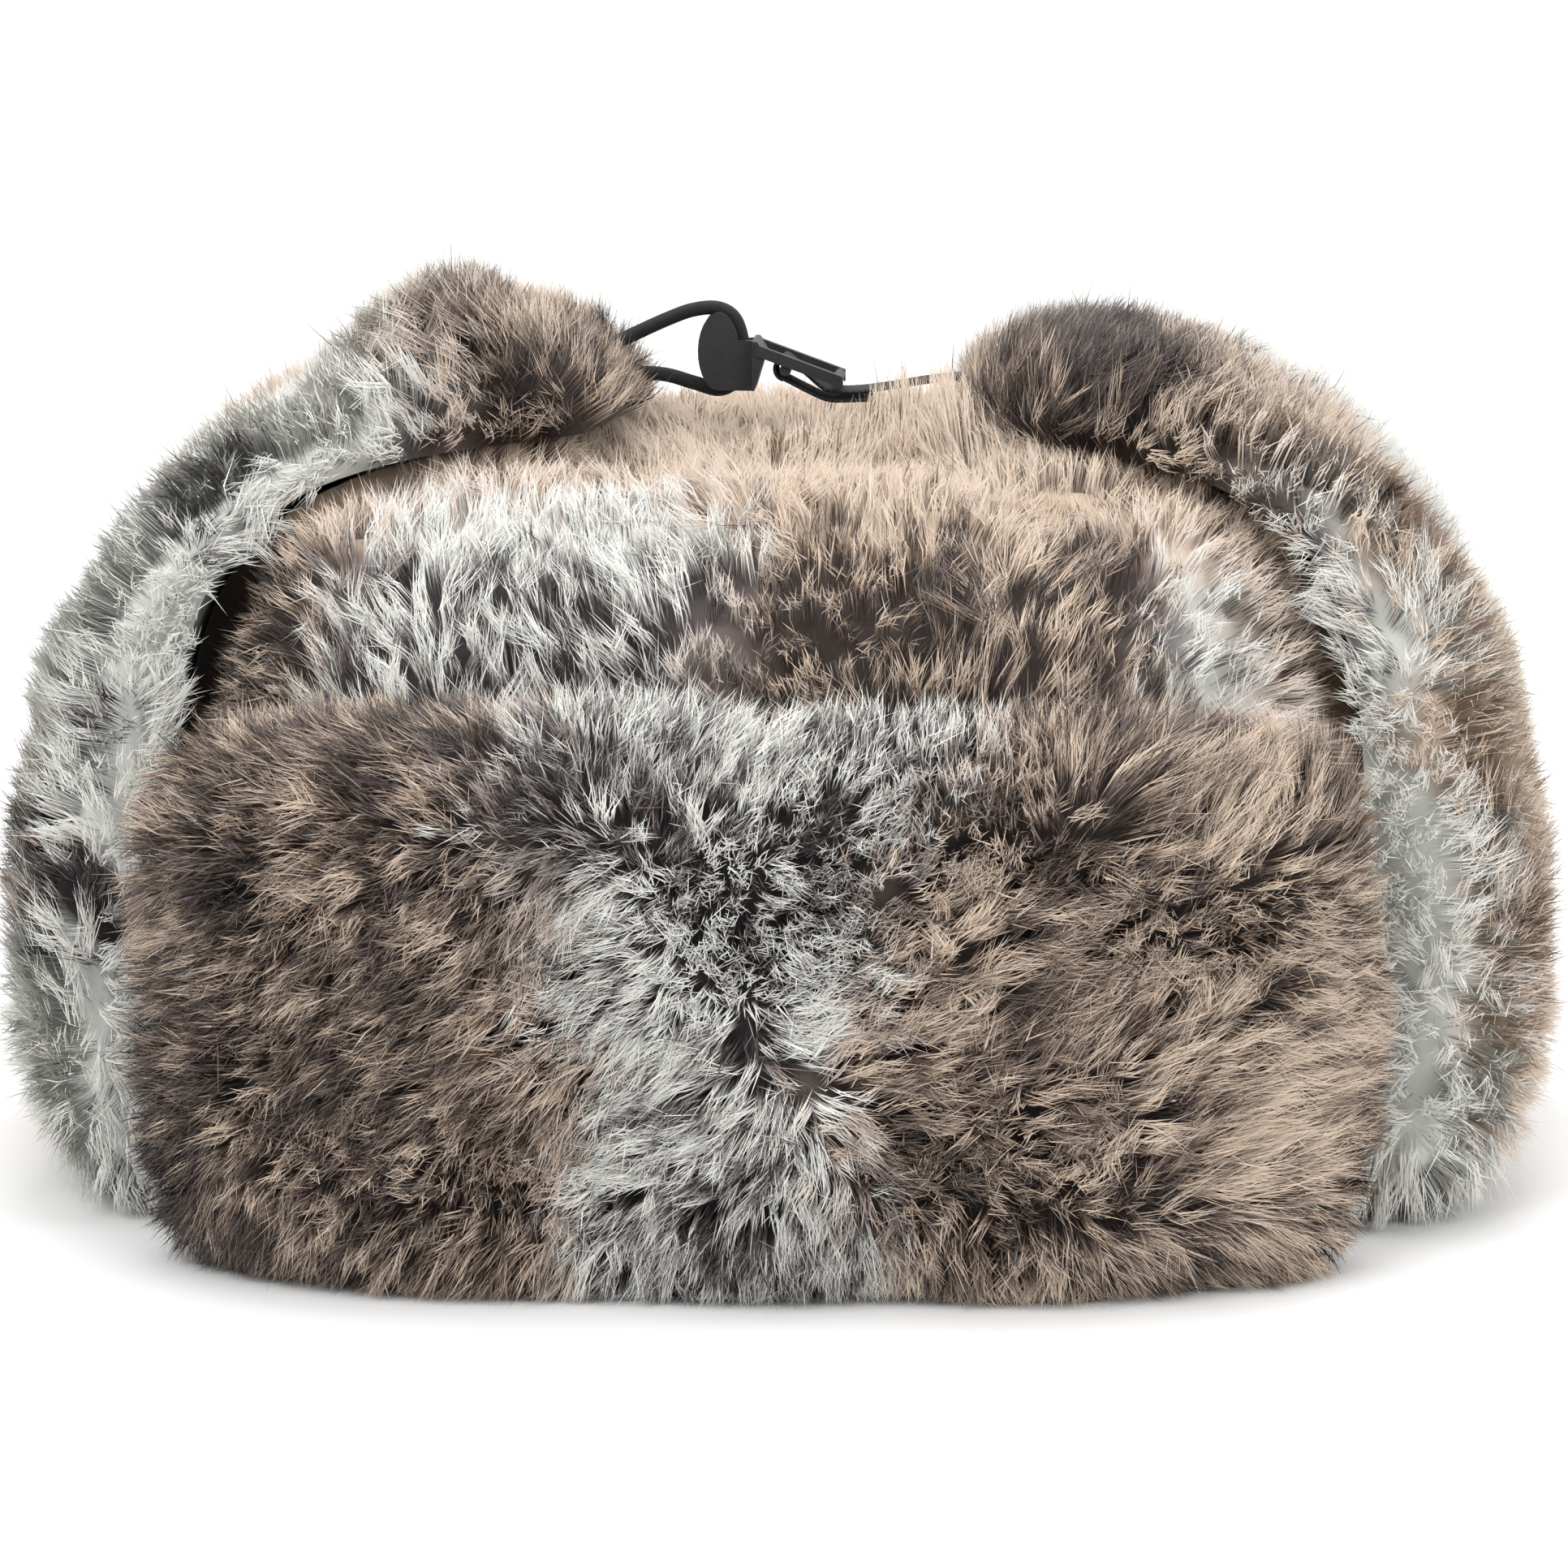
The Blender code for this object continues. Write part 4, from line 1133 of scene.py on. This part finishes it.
class USHANKA_OT_crown(bpy.types.Operator):
    """The cap: its pelt and lining as one closed shell, and the pile where no flap lies on it"""

    bl_idname = "ushanka.crown"
    bl_label = "Crown"

    def execute(self, context):
        sides, rings, hollow_rings = 128, 40, 30
        turns = np.linspace(0, 2 * math.pi, sides, endpoint=False)
        rises = np.linspace(0, math.pi / 2, rings + 1)[:-1]
        outer = crown_skin(turns, rises)[:, ::-1]
        lift = np.linspace(0, math.pi / 2, hollow_rings + 1)[:-1]
        share = np.cos(lift) ** (2 / HOLLOW_PROFILE_POWER)
        rise = np.sin(lift) ** (2 / HOLLOW_PROFILE_POWER)
        radius = plan_reach(turns, HEAD_HALF_WIDTH, HEAD_HALF_LENGTH, HOLLOW_PLAN_POWER)
        inner = np.stack([
            (radius * np.cos(turns))[:, None] * share,
            (radius * np.sin(turns))[:, None] * share,
            np.broadcast_to(rise * HEAD_DEPTH, (sides, hollow_rings)),
        ], axis=-1)
        shell = np.concatenate([outer, inner], axis=1)
        total = shell.shape[1]
        top = crown_skin(np.array([0.0]), np.array([math.pi / 2]))[0, 0]
        points = np.vstack([shell.reshape(-1, 3), top, [0, 0, HEAD_DEPTH]])
        index = np.arange(sides * total).reshape(sides, total)
        wrapped = np.vstack([index, index[:1]])
        quads = grid_quads(wrapped)[:, ::-1]
        peak, vault = sides * total, sides * total + 1
        caps = np.vstack([
            np.stack([np.full(sides, peak), wrapped[:-1, 0], wrapped[1:, 0]], axis=1),
            np.stack([np.full(sides, vault), wrapped[1:, -1], wrapped[:-1, -1]], axis=1),
        ])
        lined = np.zeros((sides, total))
        lined[:, rings:] = 1.0
        lined = np.concatenate([lined.ravel(), [0.0, 1.0]])
        slot = ("brown_pile", "faux_fur_brown")
        material = bpy.data.materials.get(slot[1]) or pile_material(slot[1])
        body = mesh_object(
            "crown_pelt", points, quads=quads, triangles=caps,
            attributes={
                "along": np.full(len(points), PELT_SHARE),
                "silver": crown_silver(points),
                "tone": crown_tone(points) + PELT_SHADE,
                "inside": lined,
            },
        )
        body.data.materials.append(material)
        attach(body, "root")
        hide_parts("crown")

        fine = crown_skin(np.linspace(0, 2 * math.pi, 361), np.linspace(0, math.pi / 2, 121))
        normals = grid_normals(fine, np.array([0.0, 0.0, 0.0]))
        weight = (covered(fine) < 0.9).astype(float)
        rng = np.random.default_rng(71)
        roots, upright = spread_clumps(fine, normals, weight, 5800, rng)
        flow = pile_flow(roots, crown_lie, CROWN_PARTINGS, 71)
        height = context.scene.ushanka_pile.crown_height * (1 + TUFT_GROWTH * strap_tuft(roots))
        pile = pile_object(
            "crown_pile", roots, upright, flow, crown_silver, crown_tone, height,
            CROWN_PARTINGS, material, 76,
        )
        return {"FINISHED"}


class USHANKA_OT_band_flaps(bpy.types.Operator):
    """The flaps turned up at the brow and the nape"""

    bl_idname = "ushanka.band_flaps"
    bl_label = "Brow and neck flaps"

    def execute(self, context):
        slot = ("brown_pile", "faux_fur_brown")

        for node, shape, silver, tone, lie, partings, clumps, seed in (
            ("brow_flap", (BROW_FLAP_HEIGHT, BROW_FLAP_SPREAD, -1), brow_silver, brow_tone,
             brow_lie, BROW_PARTINGS, 6200, 81),
            ("neck_flap", (NECK_FLAP_HEIGHT, NECK_FLAP_SPREAD, 1), neck_silver, neck_tone,
             neck_lie, NECK_PARTINGS, 4900, 91),
        ):
            grids = {"pelt": (49, 37, *shape), "fine": (181, 121, *shape)}
            dressed_flap(
                node, band_pelt, grids, silver, tone, lie, partings, slot, clumps, seed
            )
        return {"FINISHED"}


class USHANKA_OT_ear_flaps(bpy.types.Operator):
    """The ear flaps, up the crown's sides and over it towards the clip"""

    bl_idname = "ushanka.ear_flaps"
    bl_label = "Ear flaps"

    def execute(self, context):
        slot = ("silver_pile", "faux_fur_silver")

        for node, shape, silver, tone, seed in (
            ("ear_flap_left", (-1, LEFT_TIP_REACH, LEFT_THICK), left_ear_silver, left_ear_tone,
             101),
            ("ear_flap_right", (1, RIGHT_TIP_REACH, RIGHT_THICK), right_ear_silver,
             right_ear_tone, 111),
        ):
            grids = {"pelt": (61, 37, *shape), "fine": (221, 141, *shape)}
            dressed_flap(
                node, ear_pelt, grids, silver, tone, ear_lie, EAR_PARTINGS, slot, 6200, seed
            )
        return {"FINISHED"}


class USHANKA_OT_strap(bpy.types.Operator):
    """The webbing folded round the clip's bar and led under the right flap's tip"""

    bl_idname = "ushanka.strap"
    bl_label = "Chin strap"

    def execute(self, context):
        turn = np.radians(np.linspace(270, 80, 9))
        bend = np.stack([
            STRAP_BAR[0] + STRAP_BEND * np.cos(turn), STRAP_BAR[1] + STRAP_BEND * np.sin(turn)
        ], axis=1)
        line = np.vstack([STRAP_TAIL, bend, STRAP_LEAD])
        route = np.insert(line, 1, CLIP_DEPTH_PLACE, axis=1)
        path = smooth_line(route, 5)
        _, normals, across = frames_along(path)
        # A rounded slot section: |u|^6 + |v|^2.5 = 1, so the selvedges are soft.
        angle = np.linspace(0, 2 * math.pi, 36, endpoint=False)
        u = np.sign(np.cos(angle)) * np.abs(np.cos(angle)) ** (2 / 6)
        v = np.sign(np.sin(angle)) * np.abs(np.sin(angle)) ** (2 / 2.5)
        rings = (
            path[:, None]
            + across[:, None] * (u * STRAP_WIDTH / 2)[None, :, None]
            + normals[:, None] * (v * STRAP_THICKNESS / 2)[None, :, None]
        )
        points, quads, caps = capped_tube(rings, path, turned=False)
        run = np.concatenate([[0], np.cumsum(np.linalg.norm(np.diff(path, axis=0), axis=1))])
        uv = np.stack(np.meshgrid(run * 1000, u * STRAP_WIDTH / 2 * 1000, indexing="ij"), axis=-1)
        uv = np.vstack([uv.reshape(-1, 2)[:, ::-1], [[0, 0], [0, run[-1] * 1000]]])
        made = mesh_object("chin_strap_webbing", points, quads=quads, triangles=caps, uv=uv)
        made.data.materials.append(webbing_material())
        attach(made, "root")
        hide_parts("chin_strap")
        return {"FINISHED"}


class USHANKA_OT_clip(bpy.types.Operator):
    """The moulded clip keeps its solid and takes its plastic"""

    bl_idname = "ushanka.clip"
    bl_label = "Clip"

    def execute(self, context):
        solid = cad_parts["clip_hook"]
        plastic = plastic_material()
        for slot in solid.material_slots:
            slot.material = plastic
        return {"FINISHED"}


class USHANKA_OT_stage(bpy.types.Operator):
    """A near-white floor that curves up behind, and plain soft light"""

    bl_idname = "ushanka.stage"
    bl_label = "Stage"

    def execute(self, context):
        # The sweep: level to 1.2 m behind, then a quarter circle of 0.8 m, then upright.
        across = np.linspace(-6, 6, 13)
        arc = np.linspace(0, math.pi / 2, 25)
        depth = np.concatenate([[-5.0, -2.0, 0.0], 1.2 + 0.8 * np.sin(arc), [2.0]])
        height = np.concatenate([[0, 0, 0], 0.8 * (1 - np.cos(arc)), [5.0]])
        x, y = np.meshgrid(across, depth, indexing="ij")
        z = np.broadcast_to(height, x.shape)
        points = np.stack([x, y, z], axis=-1)
        index = np.arange(x.size).reshape(x.shape)
        floor = mesh_object("studio_sweep", points.reshape(-1, 3), quads=grid_quads(index))
        made, tree, shader = new_material("painted_studio_sweep")
        shader.inputs["Base Color"].default_value = context.scene.ushanka_colours.floor
        shader.inputs["Roughness"].default_value = 0.85
        floor.data.materials.append(made)
        for name, place, size, power in (
            ("key", (-0.9, -1.5, 1.5), 1.4, 26.0),
            ("fill", (1.3, -1.3, 0.9), 1.4, 18.0),
            ("top", (0.1, 0.3, 1.7), 1.2, 18.0),
        ):
            light = bpy.data.lights.new(name, "AREA")
            light.shape, light.size, light.energy = "SQUARE", size, power
            lamp = bpy.data.objects.new(name, light)
            lamp.location = place
            aim = Vector((0.0, 0.0, 0.06)) - Vector(place)
            lamp.rotation_euler = aim.to_track_quat("-Z", "Y").to_euler()
            context.scene.collection.objects.link(lamp)
        world = bpy.data.worlds.new("studio")
        world.use_nodes = True
        background = world.node_tree.nodes["Background"]
        background.inputs["Color"].default_value = (1.0, 1.0, 1.0, 1.0)
        background.inputs["Strength"].default_value = 0.75
        context.scene.world = world
        context.scene.view_settings.view_transform = "Standard"
        return {"FINISHED"}


class USHANKA_PT_panel(bpy.types.Panel):
    """Sizes, colours and the steps that build the hat"""

    bl_idname = "USHANKA_PT_panel"
    bl_label = "Ushanka"
    bl_space_type = "VIEW_3D"
    bl_region_type = "UI"
    bl_category = "Ushanka"

    def draw(self, context):
        layout = self.layout
        for group in (context.scene.ushanka_pile, context.scene.ushanka_colours):
            box = layout.box()
            for key in group.__annotations__:
                box.prop(group, key)
        for step in STEPS:
            layout.operator(step.bl_idname)


STEPS = (
    USHANKA_OT_camera,
    USHANKA_OT_elastic,
    USHANKA_OT_crown,
    USHANKA_OT_band_flaps,
    USHANKA_OT_ear_flaps,
    USHANKA_OT_strap,
    USHANKA_OT_clip,
    USHANKA_OT_stage,
)
CLASSES = (PileSizes, UshankaColours, *STEPS, USHANKA_PT_panel)


def register():
    for made in CLASSES:
        bpy.utils.register_class(made)
    bpy.types.Scene.ushanka_pile = bpy.props.PointerProperty(type=PileSizes)
    bpy.types.Scene.ushanka_colours = bpy.props.PointerProperty(type=UshankaColours)


def unregister():
    del bpy.types.Scene.ushanka_colours
    del bpy.types.Scene.ushanka_pile
    for made in reversed(CLASSES):
        bpy.utils.unregister_class(made)


def main():
    register()
    bpy.ops.ushanka.camera()
    bpy.ops.ushanka.elastic()
    bpy.ops.ushanka.crown()
    bpy.ops.ushanka.band_flaps()
    bpy.ops.ushanka.ear_flaps()
    bpy.ops.ushanka.strap()
    bpy.ops.ushanka.clip()
    bpy.ops.ushanka.stage()


if __name__ == "__main__":
    main()
